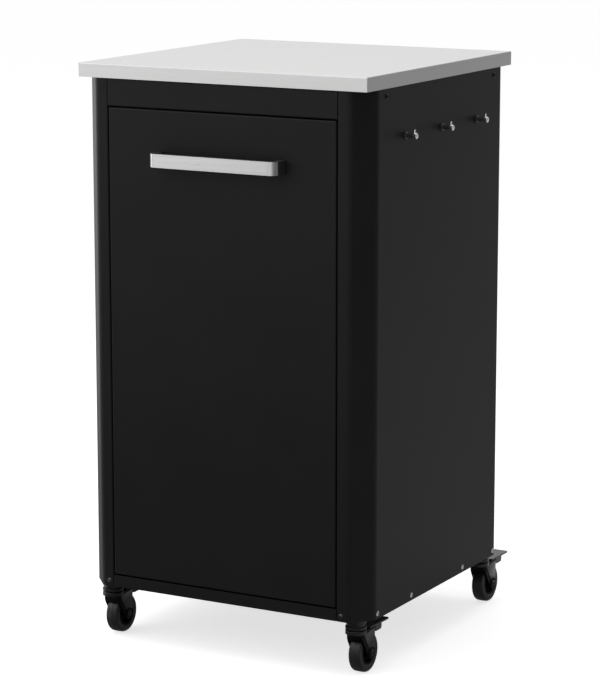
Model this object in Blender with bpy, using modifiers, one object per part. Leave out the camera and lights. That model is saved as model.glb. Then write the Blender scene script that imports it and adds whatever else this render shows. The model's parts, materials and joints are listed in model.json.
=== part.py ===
"""Outdoor kitchen unit: a steel cabinet on braked casters, with a worktop and a tall pull-out front.

Metres, +Z up, the front faces -Y and +X is to the right. The origin is under the middle of the whole
unit, on the floor. Every size below is set by itself; the rest of the script derives places from them.
"""

import math

import bmesh
import bpy
from mathutils import Matrix, Vector

# Clearances
SEAT_GAP = 0.0003  # between pieces that rest on or are fixed to each other
SEAM = 0.0004  # between sheets that meet edge to edge
FRONT_GAP = 0.0018  # round the pull-out front

# Worktop
WORKTOP_WIDTH = 0.500
WORKTOP_DEPTH = 0.500
WORKTOP_THICKNESS = 0.0215
WORKTOP_SHEET = 0.0012
WORKTOP_EDGE_RADIUS = 0.0015
OVERHANG_SIDE = 0.0014
OVERHANG_FRONT = 0.0030
STIFFENER_INSET = 0.002
STIFFENER_END = 0.018

# Cabinet
CABINET_HEIGHT = 0.8035
SHEET = 0.0012
TIGHT_BEND = 0.0022
SOFT_BEND = 0.0145
CHAMFER_ACROSS = 0.029
CHAMFER_ALONG = 0.0325
CORNER_FLANGE = 0.0203
JAMB_LIP = 0.018
TOP_FLANGE = 0.040
TOP_RAIL_HEIGHT = 0.0425
TOP_RAIL_DEPTH = 0.030
STOP_LIP = 0.020
BASE_LIP = 0.0187
BACK_PANEL_DEPTH = 0.015
VENT_LENGTH = 0.070
VENT_WIDTH = 0.006
VENT_END_RADIUS = 0.0029
VENT_PITCH = 0.016
VENT_ROWS = 4
VENT_COLUMN = 0.075  # from the middle to each column of slots
VENT_EDGE = 0.070  # from the panel's top or bottom edge to the nearest row

# Pull-out front
FRONT_DEPTH = 0.018
FRONT_EDGE_RADIUS = 0.0020
BUMPER_RADIUS = 0.007
BUMPER_SOFT_EDGE = 0.0014
BUMPER_INSET = 0.0465  # from the front's side edge

# Bow handle
HANDLE_LENGTH = 0.224
HANDLE_HEIGHT = 0.0205
HANDLE_REACH = 0.0295
HANDLE_BAR = 0.0085
HANDLE_LEG = 0.0125
HANDLE_BEND = 0.015
HANDLE_COVER = 0.0012
HANDLE_COVER_WRAP = 0.0093
HANDLE_FINGER_BEND = 0.008
HANDLE_BELOW_TOP = 0.0733  # from the front's upper edge to the handle's middle

# Telescopic runners
SLIDE_REAR_CLEARANCE = 0.0145  # to the back panel
SLIDE_HEIGHT = 0.0457
SLIDE_DEPTH = 0.0127
SLIDE_SHEET = 0.0012
SLIDE_BALL_RACE = 0.0020
SLIDE_PLAY = 0.00035
SLIDE_ABOVE_LIP = 0.011
BRACKET_SHEET = 0.0015
BRACKET_TO_CASTER = 0.022
BRACKET_FOOT = 0.024
BRACKET_ABOVE_SLIDE = 0.006

# Tray
TRAY_SHEET = 0.0015
TRAY_WALL = 0.070
TRAY_ABOVE_LIP = 0.005
TRAY_BEND = 0.0025
GUSSET_SHEET = 0.0020
GUSSET_HEIGHT = 0.300
GUSSET_LENGTH = 0.130
GUSSET_FLANGE = 0.018

# Pegs on the right side
PEG_BELOW_TOP = 0.075
PEG_PITCH = 0.124
PEG_REACH = 0.0195
PEG_RADIUS = 0.0035
PEG_BASE_RADIUS = 0.0060
PEG_BASE_THICKNESS = 0.0020
PEG_SOFT_EDGE = 0.0005
PEG_TIP_LENGTH = 0.0062
PEG_DISC_RADIUS = 0.0045
PEG_DISC_THICKNESS = 0.0020
PEG_PIN_RADIUS = 0.00175
PEG_PIN_RISE = 0.0090
PEG_PIN_INBOARD = 0.0040

# Casters
CASTER_HEIGHT = 0.0894
CASTER_INSET_SIDE = 0.0299
CASTER_INSET_FRONT = 0.0280
CASTER_TRAIL = 0.0235
WHEEL_RADIUS = 0.0315
WHEEL_WIDTH = 0.0205
TYRE_DEPTH = 0.0115
TYRE_SHOULDER = 0.0038
TYRE_LIP = 0.0008
HUB_RIM = 0.0028
HUB_RIM_INSET = 0.0012
HUB_WEB = 0.0050
HUB_BOSS_RADIUS = 0.0070
HUB_BOSS_DRAFT = 0.0010
AXLE_RADIUS = 0.0030
AXLE_HEAD_RADIUS = 0.0052
AXLE_HEAD_THICKNESS = 0.0018
WHEEL_SIDE_CLEARANCE = 0.0015
LEG_THICKNESS = 0.0025
LEG_END_RADIUS = 0.0100
LEG_REAR = 0.0115  # behind the axle
LEG_ABOVE_CROWN_LOW = 0.0042
HOOD_FRONT = 0.0096  # in front of the swivel axis
HOOD_CORNER = 0.0090
HOOD_WALL = 0.0020
HOOD_TO_TYRE = 0.0015
HEAD_RADIUS = 0.0165
HEAD_FLANGE = 0.0062
HEAD_NECK = 0.0042
HEAD_NECK_RADIUS = 0.0142
HEAD_RING = 0.0043
HEAD_SOFT_EDGE = 0.0009
CROWN_HEIGHT = 0.0062
CROWN_SOFT_EDGE = 0.0018
CROWN_BOSS_RADIUS = 0.0125
CROWN_BOSS_RISE = 0.0015
KINGPIN_RADIUS = 0.0040
KINGPIN_HEAD_RADIUS = 0.0055
KINGPIN_HEAD_TAPER = 0.0020
KINGPIN_HEAD = 0.0026
STEM_RADIUS = 0.0050
STEM_LENGTH = 0.020
NUT_ACROSS_FLATS = 0.017
NUT_HEIGHT = 0.008
PEDAL_PIN_RADIUS = 0.00175
PEDAL_PIN_BACK = 0.0065  # behind the axle
PEDAL_PIN_ABOVE_TYRE = 0.0053
PEDAL_BOSS = 0.0020
PEDAL_BLADE = 0.0024
PEDAL_BLADE_ABOVE_CROWN_LOW = 0.0051
PEDAL_ROOT_CLEARANCE = 0.0015
PEDAL_TIP = 0.054  # behind the axle
PEDAL_ROOT_WIDTH = 0.031
PEDAL_TIP_WIDTH = 0.034
PEDAL_CORNER = 0.003
PEDAL_CAM_REAR = 0.034  # behind the axle
PEDAL_CAM_DEPTH = 0.0103
PEDAL_CAM_CORNER = 0.004
PEDAL_CAM_CLEARANCE = 0.0020  # behind the fork's legs
PEDAL_SHOE_GAP = 0.0016

# Round shapes
BEND_STEPS = 3
SOFT_STEPS = 4
ROUND_STEPS = 18
HUB_STEPS = 16
SMALL_STEPS = 12
WHEEL_STEPS = 24
LEG_END_STEPS = 7
TYRE_SHOULDER_STEPS = 3

# Finishes: colour, roughness, metallic
BLACK_COAT = ((0.018, 0.018, 0.019), 0.45, 0.0)
STAINLESS = ((0.62, 0.62, 0.61), 0.32, 1.0)
CHROME = ((0.75, 0.75, 0.76), 0.10, 1.0)
ZINC = ((0.50, 0.51, 0.52), 0.35, 1.0)
BLACK_MOULDING = ((0.022, 0.022, 0.023), 0.50, 0.0)
BLACK_RUBBER = ((0.030, 0.030, 0.031), 0.75, 0.0)

# Places that follow from the sizes
half_width = WORKTOP_WIDTH / 2 - OVERHANG_SIDE
half_depth = WORKTOP_DEPTH / 2 - OVERHANG_FRONT
base_z = CASTER_HEIGHT + SEAT_GAP
cabinet_top_z = base_z + CABINET_HEIGHT
worktop_z = cabinet_top_z + SEAT_GAP
jamb_x = half_width - CHAMFER_ACROSS - CORNER_FLANGE
front_y = -half_depth
floor_z = base_z + SHEET
lip_top_z = base_z + BASE_LIP
rail_bottom_z = cabinet_top_z - TOP_RAIL_HEIGHT
front_half_width = jamb_x - FRONT_GAP
front_low_z = lip_top_z + FRONT_GAP
front_high_z = rail_bottom_z - FRONT_GAP
liner_back_y = front_y + FRONT_DEPTH
handle_z = front_high_z - HANDLE_BELOW_TOP
slide_back_x = jamb_x - BRACKET_SHEET - SEAT_GAP
slide_z = lip_top_z + SLIDE_ABOVE_LIP + SLIDE_HEIGHT / 2
slide_front_y = liner_back_y + 2 * SEAT_GAP + TRAY_SHEET
tray_half_width = slide_back_x - SLIDE_DEPTH - SEAT_GAP
tray_low_z = lip_top_z + TRAY_ABOVE_LIP
tray_front_y = liner_back_y + SEAT_GAP
slide_rear_y = half_depth - BACK_PANEL_DEPTH - SLIDE_REAR_CLEARANCE
bracket_reach = half_depth - CASTER_INSET_FRONT - BRACKET_TO_CASTER
bumper_x = front_half_width - BUMPER_INSET
peg_z = cabinet_top_z - PEG_BELOW_TOP
caster_x = half_width - CASTER_INSET_SIDE
caster_y = half_depth - CASTER_INSET_FRONT
leg_inner_x = WHEEL_WIDTH / 2 + WHEEL_SIDE_CLEARANCE
leg_outer_x = leg_inner_x + LEG_THICKNESS
head_low_z = CASTER_HEIGHT - HEAD_FLANGE - HEAD_NECK - HEAD_RING
crown_top_z = head_low_z - SEAT_GAP
crown_low_z = crown_top_z - CROWN_BOSS_RISE - CROWN_HEIGHT
pedal_pin_y = CASTER_TRAIL + PEDAL_PIN_BACK
pedal_pin_z = 2 * WHEEL_RADIUS + PEDAL_PIN_ABOVE_TYRE
blade_low_z = crown_low_z + PEDAL_BLADE_ABOVE_CROWN_LOW


def clear_scene():
    for obj in list(bpy.data.objects):
        bpy.data.objects.remove(obj, do_unlink=True)
    for collection in list(bpy.data.collections):
        bpy.data.collections.remove(collection)


clear_scene()
parts = bpy.data.collections.new("outdoor_kitchen_unit")
cutters = bpy.data.collections.new("cutters")
for group in (parts, cutters):
    bpy.context.scene.collection.children.link(group)
cutters.hide_render = True


def empty(name, location=(0, 0, 0), parent=None):
    """An empty on a joint's axis, or at the unit's own origin."""
    obj = bpy.data.objects.new(name, None)
    obj.empty_display_size = 0.03
    obj.location = location
    obj.parent = parent
    parts.objects.link(obj)
    return obj


def shaded(mesh):
    mesh.shade_smooth()
    mesh.set_sharp_from_angle(angle=math.radians(32))


def as_object(name, mesh, parent, collection=cutters):
    obj = bpy.data.objects.new(name, mesh)
    obj.parent = parent
    collection.objects.link(obj)
    obj.display_type = "WIRE"
    obj.hide_render = True
    return obj


def finished(obj, finish):
    """Moves a solid into the unit's collection as a node, with its own material."""
    colour, roughness, metallic = finish
    material = bpy.data.materials.new(obj.name + "_finish")
    material.use_nodes = True
    shader = material.node_tree.nodes["Principled BSDF"]
    shader.inputs["Base Color"].default_value = (*colour, 1.0)
    shader.inputs["Roughness"].default_value = roughness
    shader.inputs["Metallic"].default_value = metallic
    obj.data.materials.clear()
    obj.data.materials.append(material)
    shaded(obj.data)
    cutters.objects.unlink(obj)
    parts.objects.link(obj)
    obj.display_type = "TEXTURED"
    obj.hide_render = False
    return obj


def evaluated_mesh(obj):
    bpy.context.view_layer.update()
    graph = bpy.context.evaluated_depsgraph_get()
    return bpy.data.meshes.new_from_object(obj.evaluated_get(graph))


def turned_left(before, corner, after):
    first = corner - before
    second = after - corner
    return first.x * second.y - first.y * second.x > 0


def rounded(corners, radii, steps, closed=False):
    """The corners joined by straight runs, with an arc of the given radius at each."""
    count = len(corners)
    points = []
    for i, corner in enumerate(corners):
        end = not closed and i in (0, count - 1)
        if end or radii[i] <= 0:
            points.append(Vector(corner))
            continue
        here = Vector(corner)
        to_last = (Vector(corners[i - 1]) - here).normalized()
        to_next = (Vector(corners[(i + 1) % count]) - here).normalized()
        half_angle = to_last.angle(to_next) / 2
        reach = radii[i] / math.tan(half_angle)
        centre = here + (to_last + to_next).normalized() * radii[i] / math.sin(half_angle)
        start = here + to_last * reach - centre
        sweep = start.angle_signed(here + to_next * reach - centre)
        for step in range(steps + 1):
            turn = Matrix.Rotation(-sweep * step / steps, 2)
            points.append(centre + turn @ start)
    return points


def offset_left(corners, distance):
    """An open run of corners moved to its left by the distance."""
    moved = []
    for i, corner in enumerate(corners):
        here = Vector(corner)
        last = here - Vector(corners[i - 1]) if i else None
        following = Vector(corners[i + 1]) - here if i + 1 < len(corners) else None
        last = (last or following).normalized()
        following = (following or last).normalized()
        normals = [Vector((-run.y, run.x)) for run in (last, following)]
        middle = (normals[0] + normals[1]).normalized()
        moved.append(here + middle * distance / middle.dot(normals[0]))
    return moved


def sheet_outline(corners, radii, thickness, steps=BEND_STEPS):
    """The closed outline of a sheet bent along the corners, whose thickness lies to their left."""
    runs = [Vector(corner) for corner in corners]
    inner_radii = list(radii)
    for i in range(1, len(runs) - 1):
        change = -thickness if turned_left(runs[i - 1], runs[i], runs[i + 1]) else thickness
        inner_radii[i] = max(radii[i] + change, 0.0) if radii[i] > 0 else 0.0
    outer = rounded(runs, radii, steps)
    inner = rounded(offset_left(runs, thickness), inner_radii, steps)
    return outer + inner[::-1]


def bent(corners, thickness, radius=TIGHT_BEND):
    """The outline of a sheet with the same bend radius at each inner corner."""
    return sheet_outline(corners, [radius] * len(corners), thickness)


ALONG = {
    "Z": Matrix.Identity(4),
    "Y": Matrix.Rotation(math.radians(90), 4, "X"),
    "X": Matrix(((0, 0, 1, 0), (1, 0, 0, 0), (0, 1, 0, 0), (0, 0, 0, 1))),
}


def prism(name, outline, low, high, axis="Z", parent=None):
    """A flat outline extruded between two places along an axis.

    The outline is in X and Y along Z, in X and Z along Y, and in Y and Z along X.
    """
    curve = bpy.data.curves.new(name, "CURVE")
    curve.dimensions = "2D"
    curve.fill_mode = "BOTH"
    curve.extrude = (high - low) / 2
    spline = curve.splines.new("POLY")
    spline.points.add(len(outline) - 1)
    for point, place in zip(spline.points, outline):
        point.co = (place[0], place[1], 0.0, 1.0)
    spline.use_cyclic_u = True
    guide = bpy.data.objects.new(name + "_outline", curve)
    cutters.objects.link(guide)
    mesh = evaluated_mesh(guide)
    bpy.data.objects.remove(guide)
    middle = (low + high) / 2
    shift = {"X": (middle, 0, 0), "Y": (0, middle, 0), "Z": (0, 0, middle)}[axis]
    mesh.transform(Matrix.Translation(shift) @ ALONG[axis])
    welded(mesh)
    return as_object(name, mesh, parent)


def welded(mesh):
    work = bmesh.new()
    work.from_mesh(mesh)
    bmesh.ops.remove_doubles(work, verts=work.verts, dist=0.00001)
    bmesh.ops.recalc_face_normals(work, faces=work.faces)
    work.to_mesh(mesh)
    work.free()


def block(name, low, high, parent=None):
    """A box between two corners."""
    mesh = bpy.data.meshes.new(name)
    work = bmesh.new()
    bmesh.ops.create_cube(work, size=1.0)
    size = Vector(high) - Vector(low)
    middle = (Vector(high) + Vector(low)) / 2
    placed = Matrix.Translation(middle) @ Matrix.Diagonal((*size, 1))
    bmesh.ops.transform(work, matrix=placed, verts=work.verts)
    work.to_mesh(mesh)
    work.free()
    return as_object(name, mesh, parent)


def folded_pan(name, low, high, open_side, thickness, bend, parent=None):
    """A pan folded from sheet: a box open towards one side, whose thickness lies inside it."""
    pan = block(name, low, high, parent)
    work = bmesh.new()
    work.from_mesh(pan.data)
    away = Vector(open_side)
    lid = [face for face in work.faces if face.normal.dot(away) > 0.9]
    bmesh.ops.delete(work, geom=lid, context="FACES")
    work.to_mesh(pan.data)
    work.free()
    fold = pan.modifiers.new("folds", "BEVEL")
    fold.width = bend
    fold.segments = 2
    skin = pan.modifiers.new("sheet", "SOLIDIFY")
    skin.thickness = thickness
    skin.offset = -1.0
    skin.use_even_offset = True
    return pan


def turned(name, profile, steps=ROUND_STEPS, axis="Z", centre=(0, 0, 0), parent=None, ring=False):
    """A profile of (radius, height) turned about the axis through the centre.

    It runs from the top down the outer side; a ring's profile is a closed loop.
    """
    mesh = bpy.data.meshes.new(name)
    count = len(profile)
    edges = [(i, i + 1) for i in range(count - 1)] + ([(count - 1, 0)] if ring else [])
    mesh.from_pydata([(radius, 0.0, height) for radius, height in profile], edges, [])
    guide = bpy.data.objects.new(name + "_profile", mesh)
    cutters.objects.link(guide)
    spin = guide.modifiers.new("turn", "SCREW")
    spin.steps = steps
    spin.render_steps = steps
    spin.use_merge_vertices = True
    spin.merge_threshold = 0.00001
    solid = evaluated_mesh(guide)
    bpy.data.objects.remove(guide)
    solid.transform(Matrix.Translation(centre) @ ALONG[axis])
    welded(solid)
    return as_object(name, solid, parent)


def rod(name, radius, low, high, axis, centre=(0, 0, 0), parent=None, steps=SMALL_STEPS):
    return turned(name, [(0, high), (radius, high), (radius, low), (0, low)], steps, axis, centre, parent)


def boolean(solid, tools, operation):
    for tool in tools:
        step = solid.modifiers.new(tool.name, "BOOLEAN")
        step.operation = operation
        step.object = tool
        step.solver = "EXACT"
    return solid


def fused(solid, *others):
    return boolean(solid, others, "UNION")


def cut(solid, *tools):
    return boolean(solid, tools, "DIFFERENCE")


def baked(solid):
    """Applies a solid's modifiers, and removes the tools that they used."""
    tools = [step.object for step in solid.modifiers if step.type == "BOOLEAN"]
    mesh = evaluated_mesh(solid)
    solid.modifiers.clear()
    solid.data = mesh
    for tool in tools:
        bpy.data.objects.remove(tool)
    return solid


# The origin lies under the middle of the whole unit: pegs reach out on the right only, the handle in
# front and the brake pedals behind.
right_reach = half_width + PEG_REACH
left_reach = WORKTOP_WIDTH / 2
front_reach = half_depth + HANDLE_REACH
rear_reach = caster_y + CASTER_TRAIL + PEDAL_TIP
unit = empty("unit", ((left_reach - right_reach) / 2, (front_reach - rear_reach) / 2, 0))


def worktop():
    low = (-WORKTOP_WIDTH / 2, -WORKTOP_DEPTH / 2, worktop_z)
    high = (WORKTOP_WIDTH / 2, WORKTOP_DEPTH / 2, worktop_z + WORKTOP_THICKNESS)
    pan = folded_pan("worktop", low, high, (0, 0, -1), WORKTOP_SHEET, WORKTOP_EDGE_RADIUS, unit)
    finished(pan, STAINLESS)


def worktop_stiffener(name, side):
    """A channel inside the worktop that stands on a side panel's top flange."""
    outer = half_width - SHEET - STIFFENER_INSET
    inner = half_width - TOP_FLANGE + STIFFENER_INSET
    under = worktop_z + WORKTOP_THICKNESS - WORKTOP_SHEET - SEAT_GAP
    corners = [(outer, worktop_z), (outer, under), (inner, under), (inner, worktop_z)]
    outline = [(side * x, z) for x, z in bent(corners, SHEET)]
    reach = WORKTOP_DEPTH / 2 - STIFFENER_END - CHAMFER_ALONG
    finished(prism(name, outline, -reach, reach, "Y", unit), ZINC)


def side_corners():
    """The right side panel's corners in plan, from the front jamb lip round to the rear one."""
    chamfer_x = half_width - CHAMFER_ACROSS
    chamfer_y = half_depth - CHAMFER_ALONG
    lip_y = half_depth - JAMB_LIP
    corners = [(jamb_x, -lip_y), (jamb_x, -half_depth), (chamfer_x, -half_depth), (half_width, -chamfer_y)]
    corners += [(x, -y) for x, y in reversed(corners)]
    radii = [0, TIGHT_BEND, SOFT_BEND, SOFT_BEND]
    return corners, radii + radii[::-1]


def side_panel(name, side):
    corners, radii = side_corners()
    outline = sheet_outline(corners, radii, SHEET, SOFT_STEPS)
    wall = prism(name, [(side * x, y) for x, y in outline], base_z, cabinet_top_z, "Z", unit)
    inset = offset_left(corners, SHEET / 2)[2:-2]
    edge_x = half_width - TOP_FLANGE
    edge_y = half_depth - SHEET / 2
    plate = [(edge_x, -edge_y), *inset, (edge_x, edge_y)]
    bend = [0] + [SOFT_BEND - SHEET / 2] * 4 + [0]
    flange = [(side * x, y) for x, y in rounded(plate, bend, SOFT_STEPS, closed=True)]
    top = prism(name + "_flange", flange, cabinet_top_z - SHEET, cabinet_top_z, "Z", unit)
    finished(fused(wall, top), BLACK_COAT)


def base_plan():
    """The floor in plan: flush in front and behind, inside the side panels, notched for their jamb lips."""
    corners, radii = side_corners()
    inside = offset_left(corners, SHEET + SEAT_GAP)[2:-2]
    reach_x = jamb_x - SEAM
    notch_x = jamb_x + SHEET + SEAT_GAP
    notch_y = half_depth - JAMB_LIP - SEAT_GAP
    start = [(reach_x, -half_depth), (reach_x, -notch_y), (notch_x, -notch_y), (notch_x, inside[0].y)]
    right = start + list(inside) + [(x, -y) for x, y in reversed(start)]
    bend = [SOFT_BEND - SHEET - SEAT_GAP] * 4
    right = rounded(right, [0] * 4 + bend + [0] * 4, SOFT_STEPS)
    return right + [(-x, -y) for x, y in right]


def base_pan():
    """The cabinet's floor: its front lip is the bottom rail, and the casters are bolted under it."""
    pan = prism("base_pan", base_plan(), base_z, floor_z, "Z", unit)
    reach_x = jamb_x - SEAM
    side_x = half_width - SHEET - SEAT_GAP
    side_y = half_depth - CHAMFER_ALONG - SOFT_BEND / 2
    tab_x = jamb_x + SHEET + SEAT_GAP
    tab_y = half_depth - SHEET - SEAT_GAP
    tab_end_x = half_width - CHAMFER_ACROSS - SOFT_BEND / 2
    low_z = (base_z + floor_z) / 2
    lips = []
    holes = []
    for sign in (-1, 1):
        ends = sorted((sign * half_depth, sign * (half_depth - SHEET)))
        lips.append(block("lip_y", (-reach_x, ends[0], low_z), (reach_x, ends[1], lip_top_z), unit))
        ends = sorted((sign * side_x, sign * (side_x - SHEET)))
        lips.append(block("lip_x", (ends[0], -side_y, low_z), (ends[1], side_y, lip_top_z), unit))
    for x_sign in (-1, 1):
        for y_sign in (-1, 1):
            ends_x = sorted((x_sign * tab_x, x_sign * tab_end_x))
            ends_y = sorted((y_sign * tab_y, y_sign * (tab_y - SHEET)))
            lips.append(block("tab", (ends_x[0], ends_y[0], low_z), (ends_x[1], ends_y[1], lip_top_z), unit))
            centre = (x_sign * caster_x, y_sign * caster_y, 0)
            radius = STEM_RADIUS + SEAT_GAP
            holes.append(rod("stem_hole", radius, base_z - SHEET, floor_z + SHEET, "Z", centre, unit))
    finished(cut(fused(pan, *lips), *holes), BLACK_COAT)


def top_rail(name, sign, lip):
    """A channel between the side panels; the front one has a lip that stops the pull-out front."""
    inner_y = half_depth - TOP_RAIL_DEPTH
    corners = [(inner_y, cabinet_top_z), (half_depth, cabinet_top_z), (half_depth, rail_bottom_z)]
    corners.append((inner_y, rail_bottom_z))
    if lip:
        corners.append((inner_y, rail_bottom_z - lip))
    corners = corners[::-1]
    outline = [(sign * y, z) for y, z in bent(corners, SHEET)]
    reach = jamb_x - SEAM
    finished(prism(name, outline, -reach, reach, "X", unit), BLACK_COAT)


def back_panel():
    """A shallow pan behind the unit, with slots that vent a gas bottle low down and high up."""
    reach = jamb_x - SEAM
    low_z = lip_top_z + SEAM
    high_z = rail_bottom_z - SEAM
    low = (-reach, half_depth - BACK_PANEL_DEPTH, low_z)
    pan = folded_pan("back_panel", low, (reach, half_depth, high_z), (0, -1, 0), SHEET, TIGHT_BEND, unit)
    slots = []
    for row in range(VENT_ROWS):
        step = VENT_EDGE + row * VENT_PITCH
        for z in (low_z + step, high_z - step):
            for x in (-VENT_COLUMN, VENT_COLUMN):
                along = VENT_LENGTH / 2
                up = VENT_WIDTH / 2
                corners = [(x - along, z - up), (x + along, z - up), (x + along, z + up), (x - along, z + up)]
                outline = rounded(corners, [VENT_END_RADIUS] * 4, 1, closed=True)
                slots.append(prism("vent", outline, half_depth - 2 * SHEET, half_depth + SHEET, "Y", unit))
    finished(cut(pan, *slots), BLACK_COAT)


def drawer_front(drawer):
    low = (-front_half_width, front_y, front_low_z)
    high = (front_half_width, liner_back_y, front_high_z)
    pan = folded_pan("drawer_front", low, high, (0, 1, 0), SHEET, FRONT_EDGE_RADIUS, drawer)
    finished(pan, BLACK_COAT)
    edge = SHEET + SEAT_GAP
    low = (-front_half_width + edge, liner_back_y - SHEET, front_low_z + edge)
    high = (front_half_width - edge, liner_back_y, front_high_z - edge)
    finished(block("drawer_front_liner", low, high, drawer), BLACK_COAT)


def bumper(name, side):
    """A rubber stop on the top rail's lip, behind the front's upper edge."""
    lip_front_y = front_y + TOP_RAIL_DEPTH - SHEET
    low = liner_back_y + SEAT_GAP
    high = lip_front_y - SEAT_GAP
    edge = BUMPER_SOFT_EDGE
    profile = [(0, low), (BUMPER_RADIUS - edge, low), (BUMPER_RADIUS, low + edge)]
    profile += [(BUMPER_RADIUS, high), (0, high)]
    profile = [(radius, -place) for radius, place in profile]
    centre = (side * bumper_x, 0, rail_bottom_z - STOP_LIP / 2)
    finished(turned(name, profile, SMALL_STEPS, "Y", centre, unit), BLACK_RUBBER)


def bow(inset):
    """A line of the handle in plan, the given distance inside its outer one, from foot to foot."""
    foot_y = front_y - SEAT_GAP
    tip_y = front_y - HANDLE_REACH + inset
    end_x = HANDLE_LENGTH / 2 - inset
    corners = [(-end_x, foot_y), (-end_x, tip_y), (end_x, tip_y), (end_x, foot_y)]
    bend = HANDLE_BEND - inset
    return rounded(corners, [0, bend, bend, 0], SOFT_STEPS)


def split_run(run, y):
    """A bow's line cut at the place y: its left foot, its part in front of y, and its right foot."""
    last = max(i for i, point in enumerate(run) if point.y > y and point.x < 0)
    behind = run[last]
    ahead = run[last + 1]
    left = behind.lerp(ahead, (behind.y - y) / (behind.y - ahead.y))
    right = Vector((-left.x, left.y))
    following = len(run) - 1 - last
    return run[: last + 1] + [left], [left, *run[last + 1 : following], right], [right] + run[following:]


def handle(drawer):
    """A moulded bow with a stainless strip let into its front and part of its bends."""
    low = handle_z - HANDLE_HEIGHT / 2
    high = handle_z + HANDLE_HEIGHT / 2
    wrap_y = front_y - HANDLE_REACH + HANDLE_COVER_WRAP
    skin = HANDLE_COVER + SEAT_GAP
    foot_y = front_y - SEAT_GAP
    finger_x = HANDLE_LENGTH / 2 - HANDLE_LEG
    finger_y = front_y - HANDLE_REACH + skin + HANDLE_BAR
    left, _, right = split_run(bow(0), wrap_y + SEAT_GAP)
    _, core, _ = split_run(bow(skin), wrap_y + SEAT_GAP)
    finger = [(finger_x, foot_y), (finger_x, finger_y), (-finger_x, finger_y), (-finger_x, foot_y)]
    finger = rounded(finger, [0, HANDLE_FINGER_BEND, HANDLE_FINGER_BEND, 0], SOFT_STEPS)
    finished(prism("handle_body", left + core + right + finger, low, high, "Z", drawer), BLACK_MOULDING)
    _, outer, _ = split_run(bow(0), wrap_y)
    _, inner, _ = split_run(bow(HANDLE_COVER), wrap_y)
    finished(prism("handle_cover", outer + inner[::-1], low, high, "Z", drawer), STAINLESS)


def runner_bracket(name, side):
    """An angle that stands on the floor and carries the outer runner."""
    web_x = slide_back_x + SEAT_GAP
    low = floor_z + SEAT_GAP
    high = slide_z + SLIDE_HEIGHT / 2 + BRACKET_ABOVE_SLIDE
    corners = [(web_x, high), (web_x, low), (web_x + BRACKET_FOOT, low)]
    outline = [(side * x, z) for x, z in bent(corners, BRACKET_SHEET)]
    finished(prism(name, outline, -bracket_reach, bracket_reach, "Y", unit), ZINC)


def channel(name, side, corners, parent):
    """One runner member; its corners are (depth from the outer runner's back, height from the middle)."""
    folded = bent(corners, SLIDE_SHEET)
    outline = [(side * (slide_back_x - depth), slide_z + height) for depth, height in folded]
    member = prism(name, outline, slide_front_y, slide_rear_y, "Y", parent)
    finished(member, ZINC)


def lipped(back, front, half, lip):
    """The corners of a channel open at its front, with lips turned in."""
    upper = [(front, half - lip), (front, half), (back, half)]
    return upper + [(depth, -height) for depth, height in reversed(upper)]


def runners(word, side, drawer, middle):
    """Three members nested with a ball race between each pair."""
    mouth = SLIDE_DEPTH - SLIDE_SHEET - SEAT_GAP
    lip = SLIDE_SHEET + SLIDE_BALL_RACE - SLIDE_PLAY
    outer_half = SLIDE_HEIGHT / 2
    middle_half = outer_half - SLIDE_SHEET - SLIDE_BALL_RACE
    inner_half = middle_half - SLIDE_SHEET - SLIDE_BALL_RACE
    channel(f"slide_outer_{word}", side, lipped(0, mouth, outer_half, lip), unit)
    back = SLIDE_SHEET + SLIDE_PLAY
    channel(f"slide_middle_{word}", side, lipped(back, mouth, middle_half, lip), middle)
    back = 2 * back + SLIDE_PLAY
    corners = [(back, -inner_half), (SLIDE_DEPTH, -inner_half), (SLIDE_DEPTH, inner_half), (back, inner_half)]
    channel(f"slide_inner_{word}", side, corners, drawer)


def bottle_tray(drawer):
    low = (-tray_half_width, tray_front_y, tray_low_z)
    high = (tray_half_width, slide_rear_y, tray_low_z + TRAY_WALL)
    tray = folded_pan("bottle_tray", low, high, (0, 0, 1), TRAY_SHEET, TRAY_BEND, drawer)
    finished(tray, BLACK_COAT)


def tray_gusset(name, side, drawer):
    """A bracket that braces the tall front against the tray's side wall."""
    outer_x = tray_half_width - TRAY_SHEET - SEAT_GAP
    inner_x = outer_x - GUSSET_SHEET
    foot_y = tray_front_y + TRAY_BEND + SEAT_GAP
    low = tray_low_z + TRAY_BEND + SEAT_GAP
    top = low + GUSSET_HEIGHT
    wall_top = tray_low_z + TRAY_WALL
    corners = [(foot_y, low), (foot_y + GUSSET_LENGTH, low), (foot_y + GUSSET_LENGTH, wall_top - SHEET)]
    corners += [(foot_y + GUSSET_FLANGE, top), (foot_y, top)]
    outline = rounded(corners, [0, 0, GUSSET_FLANGE, GUSSET_FLANGE, 0], BEND_STEPS, closed=True)
    ends = sorted((side * inner_x, side * outer_x))
    web = prism(name, outline, ends[0], ends[1], "X", drawer)
    above = wall_top + SHEET
    ends = sorted((side * (outer_x - GUSSET_FLANGE), side * outer_x))
    far = (ends[1], foot_y + GUSSET_SHEET, top)
    flange = block(name + "_flange", (ends[0], tray_front_y, above), far, drawer)
    finished(fused(web, flange), BLACK_COAT)


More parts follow.
